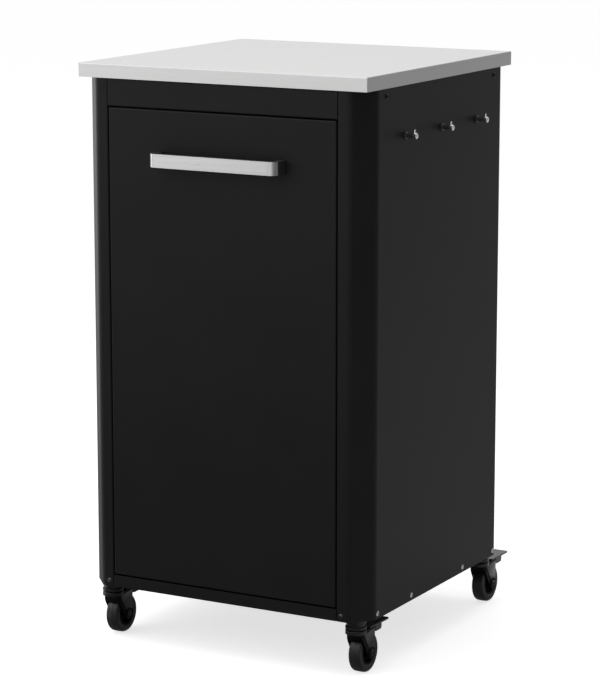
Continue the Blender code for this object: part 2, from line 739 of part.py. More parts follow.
def peg(word, y):
    """A short stem on the side panel, and a bright tip with an upright pin that keeps a hook on it."""
    centre = (0, y, peg_z)
    base = half_width + SEAT_GAP
    tip = half_width + PEG_REACH
    joint = tip - PEG_TIP_LENGTH
    flange = base + PEG_BASE_THICKNESS
    soft = PEG_SOFT_EDGE
    stem = [(0, joint - SEAT_GAP), (PEG_RADIUS, joint - SEAT_GAP), (PEG_RADIUS, flange)]
    stem += [(PEG_BASE_RADIUS - soft, flange), (PEG_BASE_RADIUS, flange - soft)]
    stem += [(PEG_BASE_RADIUS, base), (0, base)]
    finished(turned(f"peg_stem_{word}", stem, HUB_STEPS, "X", centre, unit), BLACK_COAT)
    disc = tip - PEG_DISC_THICKNESS
    end = [(0, tip), (PEG_DISC_RADIUS - soft, tip), (PEG_DISC_RADIUS, tip - soft), (PEG_DISC_RADIUS, disc)]
    end += [(PEG_RADIUS, disc), (PEG_RADIUS, joint), (0, joint)]
    cap = turned(f"peg_tip_{word}", end, HUB_STEPS, "X", centre, unit)
    pin_x = tip - PEG_PIN_INBOARD
    upright = rod("pin", PEG_PIN_RADIUS, 0, PEG_PIN_RISE, "Z", (pin_x, y, peg_z), unit)
    finished(fused(cap, upright), CHROME)


def wheel_centre():
    return (0, CASTER_TRAIL, WHEEL_RADIUS)


def caster_head():
    """Flange, race neck and lower ring over the fork, the kingpin through its crown and the stem above."""
    soft = HEAD_SOFT_EDGE
    flange_z = CASTER_HEIGHT - HEAD_FLANGE
    neck_z = flange_z - HEAD_NECK
    pin_end = crown_low_z - SEAT_GAP
    stem_top = CASTER_HEIGHT + STEM_LENGTH
    profile = [(0, stem_top), (STEM_RADIUS, stem_top), (STEM_RADIUS, CASTER_HEIGHT)]
    profile += [(HEAD_RADIUS, CASTER_HEIGHT), (HEAD_RADIUS, flange_z + soft), (HEAD_RADIUS - soft, flange_z)]
    profile += [(HEAD_NECK_RADIUS, flange_z), (HEAD_NECK_RADIUS, neck_z), (HEAD_RADIUS - soft, neck_z)]
    profile += [(HEAD_RADIUS, neck_z - soft), (HEAD_RADIUS, head_low_z), (KINGPIN_RADIUS, head_low_z)]
    profile += [(KINGPIN_RADIUS, pin_end), (KINGPIN_HEAD_RADIUS, pin_end)]
    low = pin_end - KINGPIN_HEAD
    profile += [(KINGPIN_HEAD_RADIUS - KINGPIN_HEAD_TAPER, low), (0, low)]
    return turned("head", profile)


def caster_nut():
    low = floor_z + SEAT_GAP
    corner = NUT_ACROSS_FLATS / 2 / math.cos(math.radians(30))
    nut = rod("nut", corner, low, low + NUT_HEIGHT, "Z", steps=6)
    bore = rod("nut_bore", STEM_RADIUS + SEAT_GAP, low - NUT_HEIGHT, low + 2 * NUT_HEIGHT, "Z")
    return baked(cut(nut, bore))


def tangent_angle(corner, centre, side):
    """The direction from a leg's round end to where a straight edge from the corner touches it."""
    away = corner - centre
    return math.atan2(away.y, away.x) + side * math.acos(LEG_END_RADIUS / away.length)


def fork_side():
    """The fork seen from its side: down the hood, round the legs' ends and up their rear edge."""
    centre = Vector(wheel_centre()[1:])
    top = crown_low_z + LEG_ABOVE_CROWN_LOW
    rear = CASTER_TRAIL + LEG_REAR
    brow = Vector((-HOOD_FRONT, top))
    chin = Vector((-HOOD_FRONT, crown_low_z))
    elbow = Vector((rear, centre.y + LEG_REAR))
    start = tangent_angle(chin, centre, 1)
    sweep = tangent_angle(elbow, centre, -1) + math.tau - start
    ends = []
    for step in range(LEG_END_STEPS + 1):
        angle = start + sweep * step / LEG_END_STEPS
        ends.append(centre + LEG_END_RADIUS * Vector((math.cos(angle), math.sin(angle))))
    return [brow, chin, *ends, elbow, Vector((rear, top))]


def fork_body():
    """Two legs and the sloping hood between their front edges, open behind for the wheel and the brake."""
    side = fork_side()
    rear = side[-1].x + SHEET
    low = WHEEL_RADIUS - LEG_END_RADIUS - SHEET
    high = side[0].y + SHEET
    corners = [(-leg_outer_x, rear), (-leg_outer_x, -HOOD_FRONT)]
    corners += [(-x, y) for x, y in reversed(corners)]
    plan = rounded(corners, [0, HOOD_CORNER, HOOD_CORNER, 0], SOFT_STEPS, closed=True)
    body = prism("fork_body", plan, low, high, "Z")
    profile = prism("fork_side", side, -2 * leg_outer_x, 2 * leg_outer_x, "X")
    inner = offset_left(side[:3], HOOD_WALL)
    room = [Vector((inner[0].x, high + SHEET)), inner[1], inner[2], Vector((inner[2].x, low - SHEET))]
    room += [Vector((rear + SHEET, low - SHEET)), Vector((rear + SHEET, high + SHEET))]
    inside = prism("fork_room", room, -leg_inner_x, leg_inner_x, "X")
    radius = WHEEL_RADIUS + HOOD_TO_TYRE
    wheel_room = rod("wheel_room", radius, -leg_inner_x, leg_inner_x, "X", wheel_centre())
    return baked(cut(boolean(body, [profile], "INTERSECT"), inside, wheel_room))


def caster_fork():
    """A round crown over the hooded body, and the pin between the legs that the brake pedal tips on."""
    shoulder = crown_top_z - CROWN_BOSS_RISE
    bore = KINGPIN_RADIUS + SEAT_GAP
    profile = [(bore, crown_top_z), (CROWN_BOSS_RADIUS, crown_top_z), (CROWN_BOSS_RADIUS, shoulder)]
    profile += [(HEAD_RADIUS - CROWN_SOFT_EDGE, shoulder), (HEAD_RADIUS, shoulder - CROWN_SOFT_EDGE)]
    profile += [(HEAD_RADIUS, crown_low_z), (bore, crown_low_z)]
    crown = turned("fork", profile, ring=True)
    pin = rod("pedal_pin", PEDAL_PIN_RADIUS, -leg_outer_x, leg_outer_x, "X", (0, pedal_pin_y, pedal_pin_z))
    hole = rod("axle_hole", AXLE_RADIUS + SEAT_GAP, -2 * leg_outer_x, 2 * leg_outer_x, "X", wheel_centre())
    return baked(cut(fused(crown, fork_body(), pin), hole))


def mirrored(half):
    """A turned profile from the half of it above the middle plane, listed towards that plane."""
    return half + [(radius, -place) for radius, place in reversed(half)]


def caster_axle():
    face = leg_outer_x + SEAT_GAP
    end = face + AXLE_HEAD_THICKNESS
    soft = AXLE_HEAD_THICKNESS / 2
    half = [(0, end), (AXLE_HEAD_RADIUS - soft, end), (AXLE_HEAD_RADIUS, end - soft)]
    half += [(AXLE_HEAD_RADIUS, face), (AXLE_RADIUS, face)]
    return turned("axle", mirrored(half), SMALL_STEPS, "X", wheel_centre())


def caster_hub():
    bore = AXLE_RADIUS + SEAT_GAP
    rim = WHEEL_RADIUS - TYRE_DEPTH - SEAT_GAP
    face = leg_inner_x - SEAT_GAP
    rim_face = WHEEL_WIDTH / 2 - HUB_RIM_INSET
    web = HUB_WEB / 2
    half = [(bore, face), (HUB_BOSS_RADIUS - HUB_BOSS_DRAFT, face), (HUB_BOSS_RADIUS, web)]
    half += [(rim - HUB_RIM, web), (rim - HUB_RIM, rim_face), (rim, rim_face)]
    return turned("hub", mirrored(half), HUB_STEPS, "X", wheel_centre(), ring=True)


def caster_tyre():
    inner = WHEEL_RADIUS - TYRE_DEPTH
    face = WHEEL_WIDTH / 2
    half = [(inner, face - TYRE_LIP / 2), (inner + TYRE_LIP, face)]
    for step in range(TYRE_SHOULDER_STEPS + 1):
        angle = math.radians(90) * (1 - step / TYRE_SHOULDER_STEPS)
        radius = WHEEL_RADIUS - TYRE_SHOULDER + TYRE_SHOULDER * math.cos(angle)
        half.append((radius, face - TYRE_SHOULDER + TYRE_SHOULDER * math.sin(angle)))
    return turned("tyre", mirrored(half), WHEEL_STEPS, "X", wheel_centre(), ring=True)


def shoe_arc(end_y):
    """The brake shoe's underside, which follows the tyre from the pin's boss back to the cam."""
    radius = WHEEL_RADIUS + PEDAL_SHOE_GAP
    start = math.asin((PEDAL_PIN_BACK - PEDAL_PIN_RADIUS) / radius)
    end = math.asin((end_y - CASTER_TRAIL) / radius)
    points = []
    for step in range(BEND_STEPS + 1):
        angle = start + (end - start) * step / BEND_STEPS
        points.append((CASTER_TRAIL + radius * math.sin(angle), WHEEL_RADIUS + radius * math.cos(angle)))
    return points


def caster_pedal():
    """The brake: a blade over the wheel, a cam behind the fork and a shoe that tips onto the tyre."""
    root_y = HEAD_RADIUS + PEDAL_ROOT_CLEARANCE
    tip_y = CASTER_TRAIL + PEDAL_TIP
    root = PEDAL_ROOT_WIDTH / 2
    tip = PEDAL_TIP_WIDTH / 2
    corners = [(root, root_y), (tip, tip_y), (-tip, tip_y), (-root, root_y)]
    plan = rounded(corners, [PEDAL_CORNER] * 4, BEND_STEPS, closed=True)
    blade = prism("pedal", plan, blade_low_z, blade_low_z + PEDAL_BLADE, "Z")
    inside = leg_inner_x - 2 * SEAT_GAP
    join_z = blade_low_z + PEDAL_BLADE / 2
    boss = PEDAL_PIN_RADIUS + PEDAL_BOSS
    cam_front = CASTER_TRAIL + LEG_REAR + PEDAL_CAM_CLEARANCE
    cam_rear = CASTER_TRAIL + PEDAL_CAM_REAR
    cam_low = blade_low_z - PEDAL_CAM_DEPTH
    shoe_end = cam_front + PEDAL_BLADE / 2
    shoe = [(pedal_pin_y - boss, join_z), (pedal_pin_y - boss, pedal_pin_z), *shoe_arc(shoe_end)]
    shoe.append((shoe_end, join_z))
    middle = prism("shoe", shoe, -inside, inside, "X")
    cam = [(cam_front, join_z), (cam_front, cam_low), (cam_rear, cam_low), (cam_rear, join_z)]
    cam = rounded(cam, [0, PEDAL_CAM_CORNER / 2, PEDAL_CAM_CORNER, 0], BEND_STEPS, closed=True)
    cheek = prism("cam", cam, -leg_outer_x, leg_outer_x, "X")
    radius = PEDAL_PIN_RADIUS + SEAT_GAP
    bore = rod("pedal_bore", radius, -leg_outer_x, leg_outer_x, "X", (0, pedal_pin_y, pedal_pin_z))
    return baked(cut(fused(blade, middle, cheek), bore))


def copy_of(template, name, parent, shift, finish):
    """A node that shares the template's shape, set back by its parent's place."""
    obj = as_object(name, template.data.copy(), parent)
    obj.data.transform(Matrix.Translation(-Vector(shift)))
    return finished(obj, finish)


def casters():
    head = caster_head()
    nut = caster_nut()
    fork = caster_fork()
    axle = caster_axle()
    hub = caster_hub()
    tyre = caster_tyre()
    pedal = caster_pedal()
    pivot = (0, pedal_pin_y, pedal_pin_z)
    for x_sign, across in ((-1, "left"), (1, "right")):
        for y_sign, along in ((-1, "front"), (1, "rear")):
            word = f"{along}_{across}"
            seat = empty(f"seat_{word}", (x_sign * caster_x, y_sign * caster_y, 0), unit)
            swivel = empty(f"swivel_{word}", (0, 0, 0), seat)
            wheel = empty(f"wheel_{word}", wheel_centre(), swivel)
            brake = empty(f"brake_{word}", pivot, swivel)
            still = (0, 0, 0)
            copy_of(head, f"caster_head_{word}", seat, still, BLACK_MOULDING)
            copy_of(nut, f"caster_nut_{word}", seat, still, ZINC)
            copy_of(fork, f"caster_fork_{word}", swivel, still, BLACK_MOULDING)
            copy_of(axle, f"caster_axle_{word}", swivel, still, BLACK_MOULDING)
            copy_of(hub, f"caster_hub_{word}", wheel, wheel_centre(), BLACK_MOULDING)
            copy_of(tyre, f"caster_tyre_{word}", wheel, wheel_centre(), BLACK_RUBBER)
            copy_of(pedal, f"caster_pedal_{word}", brake, pivot, BLACK_MOULDING)
    for template in (head, nut, fork, axle, hub, tyre, pedal):
        bpy.data.objects.remove(template)


drawer = empty("drawer", (0, 0, 0), unit)
worktop()
base_pan()
back_panel()
top_rail("top_rail_front", -1, STOP_LIP)
top_rail("top_rail_rear", 1, 0)
drawer_front(drawer)
handle(drawer)
bottle_tray(drawer)
for side, word in ((-1, "left"), (1, "right")):
    worktop_stiffener(f"worktop_stiffener_{word}", side)
    side_panel(f"side_panel_{word}", side)
    runner_bracket(f"runner_bracket_{word}", side)
    middle = empty(f"runner_middle_{word}", (0, 0, 0), unit)
    runners(word, side, drawer, middle)
    tray_gusset(f"tray_gusset_{word}", side, drawer)
    bumper(f"bumper_{word}", side)
for word, y in (("front", -PEG_PITCH), ("middle", 0), ("rear", PEG_PITCH)):
    peg(word, y)
casters()
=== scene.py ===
import json
import math

import bmesh
import bpy
from mathutils import Matrix, Vector


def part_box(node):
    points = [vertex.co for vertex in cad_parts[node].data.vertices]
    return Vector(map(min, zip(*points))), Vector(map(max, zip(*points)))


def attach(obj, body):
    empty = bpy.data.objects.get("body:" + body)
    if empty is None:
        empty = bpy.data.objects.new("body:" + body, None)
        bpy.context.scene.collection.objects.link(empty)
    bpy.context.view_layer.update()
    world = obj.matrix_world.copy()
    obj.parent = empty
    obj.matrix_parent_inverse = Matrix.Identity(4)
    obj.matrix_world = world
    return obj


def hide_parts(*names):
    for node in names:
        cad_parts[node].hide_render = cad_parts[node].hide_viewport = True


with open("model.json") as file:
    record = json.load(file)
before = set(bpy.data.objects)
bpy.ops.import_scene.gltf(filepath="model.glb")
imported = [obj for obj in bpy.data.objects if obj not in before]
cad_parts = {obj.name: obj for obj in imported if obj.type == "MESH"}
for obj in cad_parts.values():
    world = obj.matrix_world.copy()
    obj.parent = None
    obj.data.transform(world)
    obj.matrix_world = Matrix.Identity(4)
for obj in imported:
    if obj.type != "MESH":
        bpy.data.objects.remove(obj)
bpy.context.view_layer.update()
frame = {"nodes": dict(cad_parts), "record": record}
nodes = frame["nodes"]
behaviour = frame["record"]["behaviour"]
placed = [joint for joint in behaviour["joints"] if "pos_m" in joint]
jointPlaces = {joint["name"]: Vector(joint["pos_m"]) for joint in placed}
print("frame loaded:", len(nodes), "nodes")

casterWords = ("front_left", "front_right", "rear_left", "rear_right")
topLow, topHigh = (Vector(corner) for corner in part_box("worktop"))
middle = (topLow + topHigh) / 2
proud = 0.00003  # how far a piece stands off the solid that it lies on

# The camera was solved from the unit's straight edges. Its place is from the worktop's middle.
photoView = {
    "fromMiddle": (2.08595, -3.78575),
    "height": 1.30137,
    "tilt": 78.813,  # degrees up from straight down
    "turn": 28.846,
    "focalLength": 141.67,
    "sensor": 36.0,
    "nearest": 0.05,
    "farthest": 120.0,
}


def addCamera():
    cameraData = bpy.data.cameras.new("photoCamera")
    cameraData.lens = photoView["focalLength"]
    cameraData.sensor_width = photoView["sensor"]
    cameraData.clip_start = photoView["nearest"]
    cameraData.clip_end = photoView["farthest"]
    camera = bpy.data.objects.new("photoCamera", cameraData)
    across, along = photoView["fromMiddle"]
    camera.location = (middle.x + across, middle.y + along, photoView["height"])
    camera.rotation_euler = (math.radians(photoView["tilt"]), 0.0, math.radians(photoView["turn"]))
    bpy.context.scene.collection.objects.link(camera)
    bpy.context.scene.camera = camera


addCamera()
print("camera set")


# Node trees are put together with these few functions.
def newTree(owner, outputKind="ShaderNodeOutputMaterial"):
    owner.use_nodes = True
    tree = owner.node_tree
    tree.nodes.clear()
    return tree, tree.nodes.new(outputKind)


def addNode(tree, kind, inputs=None, **settings):
    node = tree.nodes.new(kind)
    for name, value in settings.items():
        setattr(node, name, value)
    for name, value in (inputs or {}).items():
        if isinstance(value, bpy.types.NodeSocket):
            tree.links.new(value, node.inputs[name])
        else:
            node.inputs[name].default_value = value
    return node


def tinted(colour, factor=1.0):
    return tuple(channel * factor for channel in colour) + (1.0,)


def noise(tree, size, detail=3.0, roughness=0.5, stretch=(1, 1, 1)):
    places = addNode(tree, "ShaderNodeTexCoord").outputs["Object"]
    where = addNode(tree, "ShaderNodeMapping", {"Vector": places, "Scale": stretch}).outputs["Vector"]
    settings = {"Vector": where, "Scale": size, "Detail": detail, "Roughness": roughness}
    return addNode(tree, "ShaderNodeTexNoise", settings).outputs["Fac"]


def spread(tree, field, low, high, fromLow=0.3, fromHigh=0.7):
    settings = {
        "Value": field,
        "From Min": fromLow,
        "From Max": fromHigh,
        "To Min": low,
        "To Max": high,
    }
    return addNode(tree, "ShaderNodeMapRange", settings).outputs["Result"]


def worked(tree, operation, first, second=0.0):
    return addNode(tree, "ShaderNodeMath", {0: first, 1: second}, operation=operation).outputs[0]


def mixed(tree, share, first, second):
    # 6 and 7 are the colour inputs of a Mix node set to colours, and 2 is its colour output
    inputs = {0: share, 6: first, 7: second}
    return addNode(tree, "ShaderNodeMix", inputs, data_type="RGBA").outputs[2]


def drifting(tree, field, colour, contrast):
    darker, lighter = tinted(colour, 1 - contrast), tinted(colour, 1 + contrast)
    return mixed(tree, spread(tree, field, 0, 1), darker, lighter)


def bumped(tree, field, height, strength=1.0, under=None):
    inputs = {"Height": field, "Distance": height, "Strength": strength}
    if under is not None:
        inputs["Normal"] = under
    return addNode(tree, "ShaderNodeBump", inputs).outputs["Normal"]


def newFinish(name, metallic, specular):
    material = bpy.data.materials.new(name)
    tree, output = newTree(material)
    settings = {"Metallic": metallic, "Specular IOR Level": specular}
    shader = addNode(tree, "ShaderNodeBsdfPrincipled", settings)
    tree.links.new(shader.outputs["BSDF"], output.inputs["Surface"])
    return material, tree, shader


def connect(tree, shader, colour, roughness, normal):
    for name, socket in (("Base Color", colour), ("Roughness", roughness), ("Normal", normal)):
        tree.links.new(socket, shader.inputs[name])


powderCoat = {
    "colour": (0.0100, 0.0100, 0.0104),
    "specular": 0.13,
    "roughness": (0.42, 0.54),
    "grain": 1500.0,  # grains in a metre
    "grainStrength": 0.35,
    "peel": 380.0,  # soft waves in a metre
    "peelStrength": 0.5,
    "height": 0.00006,
    "drift": 9.0,  # slow changes of tone in a metre
    "contrast": 0.08,
}


def makePowderCoat():
    specular = powderCoat["specular"]
    material, tree, shader = newFinish("blackPowderCoat", metallic=0.0, specular=specular)
    grain = noise(tree, powderCoat["grain"], detail=2.0, roughness=0.6)
    peel = noise(tree, powderCoat["peel"], detail=2.0)
    drift = noise(tree, powderCoat["drift"], detail=4.0)
    normal = bumped(tree, peel, powderCoat["height"], powderCoat["peelStrength"])
    normal = bumped(tree, grain, powderCoat["height"], powderCoat["grainStrength"], normal)
    colour = drifting(tree, drift, powderCoat["colour"], powderCoat["contrast"])
    connect(tree, shader, colour, spread(tree, grain, *powderCoat["roughness"]), normal)
    return material


# what both brushed steels share
brushing = {
    "detail": 5.0,
    "roughness": 0.62,
    "endFrom": 0.65,  # how squarely a face looks along X before its lines turn
    "endTo": 0.75,
    "quarterTurn": 0.25,
    "strength": 0.5,
}
worktopSteel = {
    "colour": (0.575, 0.575, 0.572),
    "roughness": (0.34, 0.46),
    "along": 2.5,  # lines in a metre, along and across the brushing
    "across": 900.0,
    "contrast": 0.035,
    "lineHeight": 0.00001,
    "smear": 5.0,
    "smearRoughness": 0.03,
    "anisotropic": 0.0,
    # painted shade on the bends between top and sides, as a share of the steel's colour
    "paintedBendShade": 0.58,
}
handleSteel = {
    "colour": (0.56, 0.56, 0.557),
    "roughness": (0.26, 0.40),
    "along": 6.0,
    "across": 1600.0,
    "contrast": 0.06,
    "lineHeight": 0.00001,
    "smear": 20.0,
    "smearRoughness": 0.03,
    "anisotropic": 0.8,
    "paintedBendShade": 1.0,
}


def makeBrushedSteel(name, steel):
    # The lines run along X, and along Y on the faces that look along X.
    material, tree, shader = newFinish(name, metallic=1.0, specular=0.5)
    if steel["anisotropic"]:
        # level lines smear reflections upwards and downwards
        tangent = addNode(tree, "ShaderNodeTangent", direction_type="RADIAL", axis="Z")
        tree.links.new(tangent.outputs["Tangent"], shader.inputs["Tangent"])
        shader.inputs["Anisotropic"].default_value = steel["anisotropic"]
        shader.inputs["Anisotropic Rotation"].default_value = brushing["quarterTurn"]
    along, across = steel["along"], steel["across"]
    detail, coarse = brushing["detail"], brushing["roughness"]
    longLines = noise(tree, 1.0, detail, coarse, (along, across, across))
    endLines = noise(tree, 1.0, detail, coarse, (across, along, across))
    facing = addNode(tree, "ShaderNodeNewGeometry").outputs["Normal"]
    facing = addNode(tree, "ShaderNodeSeparateXYZ", {"Vector": facing}).outputs
    sideways = worked(tree, "ABSOLUTE", facing["X"])
    isEnd = spread(tree, sideways, 0, 1, brushing["endFrom"], brushing["endTo"])
    inputs = {0: isEnd, 2: longLines, 3: endLines}
    lines = addNode(tree, "ShaderNodeMix", inputs, data_type="FLOAT").outputs[0]
    smear = noise(tree, steel["smear"])
    smear = spread(tree, smear, -steel["smearRoughness"], steel["smearRoughness"])
    roughness = worked(tree, "ADD", spread(tree, lines, *steel["roughness"]), smear)
    colour = drifting(tree, lines, steel["colour"], steel["contrast"])
    # Painted shade: the bends between top and sides are painted darker, which damps their highlight;
    # rise × (1 - rise) reaches a quarter on them.
    rise = worked(tree, "MULTIPLY", facing["Z"], facing["Z"])
    bend = worked(tree, "MULTIPLY", rise, worked(tree, "SUBTRACT", 1.0, rise))
    bendShadeColour = tinted(steel["colour"], steel["paintedBendShade"])
    colour = mixed(tree, spread(tree, bend, 0, 1, 0, 0.25), colour, bendShadeColour)
    normal = bumped(tree, lines, steel["lineHeight"], brushing["strength"])
    connect(tree, shader, colour, roughness, normal)
    return material


zincPlate = {
    "colour": (0.50, 0.51, 0.52),
    "roughness": (0.26, 0.42),
    "cells": 220.0,
    "haze": 880.0,
    "hazeHeight": 0.00001,
    "hazeStrength": 0.4,
    "contrast": 0.10,
}


def makeZinc():
    material, tree, shader = newFinish("brightZincPlate", metallic=1.0, specular=0.5)
    places = addNode(tree, "ShaderNodeTexCoord").outputs["Object"]
    cells = addNode(tree, "ShaderNodeTexVoronoi", {"Vector": places, "Scale": zincPlate["cells"]})
    tone = addNode(tree, "ShaderNodeSeparateColor", {"Color": cells.outputs["Color"]}).outputs["Red"]
    haze = noise(tree, zincPlate["haze"])
    colour = drifting(tree, tone, zincPlate["colour"], zincPlate["contrast"])
    roughness = spread(tree, haze, *zincPlate["roughness"])
    normal = bumped(tree, haze, zincPlate["hazeHeight"], zincPlate["hazeStrength"])
    connect(tree, shader, colour, roughness, normal)
    return material


chromePlate = {
    "colour": (0.88, 0.88, 0.885),
    "roughness": (0.06, 0.14),
    "wipes": 160.0,
    "wipeHeight": 0.000004,
    "wipeStrength": 0.3,
    "contrast": 0.03,
}


def makeChrome():
    material, tree, shader = newFinish("polishedChrome", metallic=1.0, specular=0.5)
    wipes = noise(tree, chromePlate["wipes"])
    colour = drifting(tree, wipes, chromePlate["colour"], chromePlate["contrast"])
    roughness = spread(tree, wipes, *chromePlate["roughness"])
    normal = bumped(tree, wipes, chromePlate["wipeHeight"], chromePlate["wipeStrength"])
    connect(tree, shader, colour, roughness, normal)
    return material


handlePlastic = {
    "colour": (0.022, 0.022, 0.0225), "metallic": 0.0, "specular": 0.45, "roughness": (0.42, 0.55),
    "grain": 2200.0, "grainHeight": 0.00004, "drift": 60.0, "contrast": 0.12,
}
casterPlastic = {
    "colour": (0.005, 0.005, 0.0052), "metallic": 0.0, "specular": 0.40, "roughness": (0.28, 0.40),
    "grain": 1800.0, "grainHeight": 0.00003, "drift": 80.0, "contrast": 0.12,
}
# painted shade: a darker copy of the caster plastic, for the forks, the hubs and the axle caps, which
# stand in shadow
casterPaintedShade = {
    "colour": (0.0018, 0.0018, 0.0019), "metallic": 0.0, "specular": 0.09, "roughness": (0.42, 0.56),
    "grain": 1800.0, "grainHeight": 0.00003, "drift": 80.0, "contrast": 0.12,
}
tyreRubber = {
    "colour": (0.008, 0.008, 0.0082), "metallic": 0.0, "specular": 0.55, "roughness": (0.36, 0.48),
    "grain": 2600.0, "grainHeight": 0.00004, "drift": 120.0, "contrast": 0.12,
}
stopRubber = {
    "colour": (0.018, 0.018, 0.019), "metallic": 0.0, "specular": 0.30, "roughness": (0.70, 0.85),
    "grain": 3000.0, "grainHeight": 0.00005, "drift": 90.0, "contrast": 0.12,
}
blackScrewSteel = {
    "colour": (0.003, 0.003, 0.0031), "metallic": 0.0, "specular": 0.20, "roughness": (0.24, 0.38),
    "grain": 3000.0, "grainHeight": 0.00002, "drift": 300.0, "contrast": 0.15,
}
greyScrewSteel = {
    "colour": (0.10, 0.10, 0.104), "metallic": 1.0, "specular": 0.50, "roughness": (0.28, 0.42),
    "grain": 3000.0, "grainHeight": 0.00002, "drift": 300.0, "contrast": 0.15,
}
brightScrewSteel = {
    "colour": (0.55, 0.55, 0.56), "metallic": 1.0, "specular": 0.50, "roughness": (0.16, 0.28),
    "grain": 2400.0, "grainHeight": 0.00001, "drift": 300.0, "contrast": 0.08,
}
pegBlack = {
    "colour": (0.036, 0.036, 0.0365), "metallic": 0.0, "specular": 0.28, "roughness": (0.26, 0.36),
    "grain": 1500.0, "grainHeight": 0.00001, "drift": 200.0, "contrast": 0.10,
}


def makeGrained(name, made):
    material, tree, shader = newFinish(name, made["metallic"], made["specular"])
    grain = noise(tree, made["grain"], roughness=0.6)
    drift = noise(tree, made["drift"])
    colour = drifting(tree, drift, made["colour"], made["contrast"])
    roughness = spread(tree, grain, *made["roughness"])
    normal = bumped(tree, grain, made["grainHeight"], strength=0.5)
    connect(tree, shader, colour, roughness, normal)
    return material


finishes = {
    "cabinet_black": makePowderCoat(),
    "worktop_stainless": makeBrushedSteel("brushedWorktopSteel", worktopSteel),
    "handle_stainless": makeBrushedSteel("brushedHandleSteel", handleSteel),
    "zinc_steel": makeZinc(),
    "chrome_tip": makeChrome(),
    "handle_moulding": makeGrained("handlePlastic", handlePlastic),
    "caster_moulding": makeGrained("casterPlastic", casterPlastic),
    "caster_tyre": makeGrained("tyreRubber", tyreRubber),
    "bumper_rubber": makeGrained("stopRubber", stopRubber),
}
blackScrewFinish = makeGrained("blackScrewSteel", blackScrewSteel)
greyScrewFinish = makeGrained("greyScrewSteel", greyScrewSteel)
brightScrewFinish = makeGrained("brightScrewSteel", brightScrewSteel)
pegFinish = makeGrained("pegBlack", pegBlack)
paintedShadeFinish = makeGrained("casterPaintedShade", casterPaintedShade)
print("finishes made:", len(bpy.data.materials))

# The CAD nodes keep their shapes. These are the soft edges that their sheets and mouldings get.
slotOf = {entry["node"]: entry["material_slot"] for entry in frame["record"]["subparts"]}
softEdges = {
    "worktop": 0.0003,
    "drawer_front": 0.0003,
    "side_panel": 0.0003,
    "base_pan": 0.0003,
    "top_rail": 0.0003,
    "caster_fork": 0.0004,
    "caster_pedal": 0.0005,
    "caster_nut": 0.0005,
}
softening = {"steps": 2, "sharperThan": 40.0, "smoothBelow": 32.0}


def smoothShaded(mesh):
    mesh.shade_smooth()
    mesh.set_sharp_from_angle(angle=math.radians(softening["smoothBelow"]))


def softened(piece, width):
    soft = piece.modifiers.new("softEdges", "BEVEL")
    soft.width = width
    soft.segments = softening["steps"]
    soft.limit_method = "ANGLE"
    soft.angle_limit = math.radians(softening["sharperThan"])
    soft.use_clamp_overlap = True


def dressNodes():
    for name, node in nodes.items():
        node.data.materials.clear()
        # the forks take the darker copy of the caster plastic: painted shade
        isFork = name.startswith("caster_fork")
        node.data.materials.append(paintedShadeFinish if isFork else finishes[slotOf[name]])
        smoothShaded(node.data)
        for start, width in softEdges.items():
            if name.startswith(start) and not name.startswith("worktop_stiffener"):
                softened(node, width)


dressNodes()
print("nodes dressed")


# Shapes for the added pieces
def meshPiece(name, build, slot, body, finish=None):
    mesh = bpy.data.meshes.new(name)
    work = bmesh.new()
    build(work)
    bmesh.ops.recalc_face_normals(work, faces=work.faces)
    work.to_mesh(mesh)
    work.free()
    mesh.materials.append(finish or finishes[slot])
    smoothShaded(mesh)
    piece = bpy.data.objects.new(name, mesh)
    bpy.context.scene.collection.objects.link(piece)
    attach(piece, body)
    return piece


def pointing(axis):
    return Vector(axis).to_track_quat("Z", "Y").to_matrix().to_4x4()


def arc(centre, radius, start, end, steps):
    # points on a circle, from one angle to another in degrees
    points = []
    for step in range(steps + 1):
        angle = math.radians(start + (end - start) * step / steps)
        across, up = radius * math.cos(angle), radius * math.sin(angle)
        points.append(Vector((centre[0] + across, centre[1] + up)))
    return points


def rounded(centre, radius, start, end, steps=4):
    # the same points, for the profile of a turned shape
    return [tuple(point) for point in arc(centre, radius, start, end, steps)]


def addTurned(work, profile, place, axis, steps=64, ring=False):
    # The profile is (radius, height) along the axis; a ring's profile closes on itself.
    made = []
    rings = []
    turns = [math.tau * step / steps for step in range(steps)]
    circle = [(math.cos(turn), math.sin(turn)) for turn in turns]
    for radius, height in profile:
        points = [(radius * x, radius * y, height) for x, y in circle] if radius else [(0, 0, height)]
        rings.append([work.verts.new(point) for point in points])
        made += rings[-1]
    pairs = list(zip(rings, rings[1:])) + ([(rings[-1], rings[0])] if ring else [])
    for lower, upper in pairs:
        for step in range(steps):
            following = (step + 1) % steps
            if len(lower) == 1:
                work.faces.new((lower[0], upper[step], upper[following]))
            elif len(upper) == 1:
                work.faces.new((lower[step], upper[0], lower[following]))
            else:
                work.faces.new((lower[step], upper[step], upper[following], lower[following]))
    bmesh.ops.transform(work, matrix=Matrix.Translation(place) @ pointing(axis), verts=made)


def addSlab(work, outline, low, high, edge, steps=2):
    # A flat outline in plan between two heights, with its upper and lower edges rounded.
    under = [work.verts.new((point[0], point[1], low)) for point in outline]
    over = [work.verts.new((point[0], point[1], high)) for point in outline]
    faces = [work.faces.new(under), work.faces.new(over)]
    for i in range(len(outline)):
        after = (i + 1) % len(outline)
        work.faces.new((under[i], under[after], over[after], over[i]))
    rims = list({rim for face in faces for rim in face.edges})
    bmesh.ops.bevel(work, geom=rims, offset=edge, segments=steps, profile=0.5, affect="EDGES")


# The bow handle: a moulded bow with a stainless strip let into its front and part of its bends
bowHandle = {
    "bend": 0.015,
    "strip": 0.0012,
    "gap": 0.0003,
    "bar": 0.0085,
    "leg": 0.0125,
    "fingerBend": 0.008,
    "bodyEdge": 0.0007,
    "bodyEdgeSteps": 3,
    "stripEdge": 0.0003,
    "steps": 14,
}


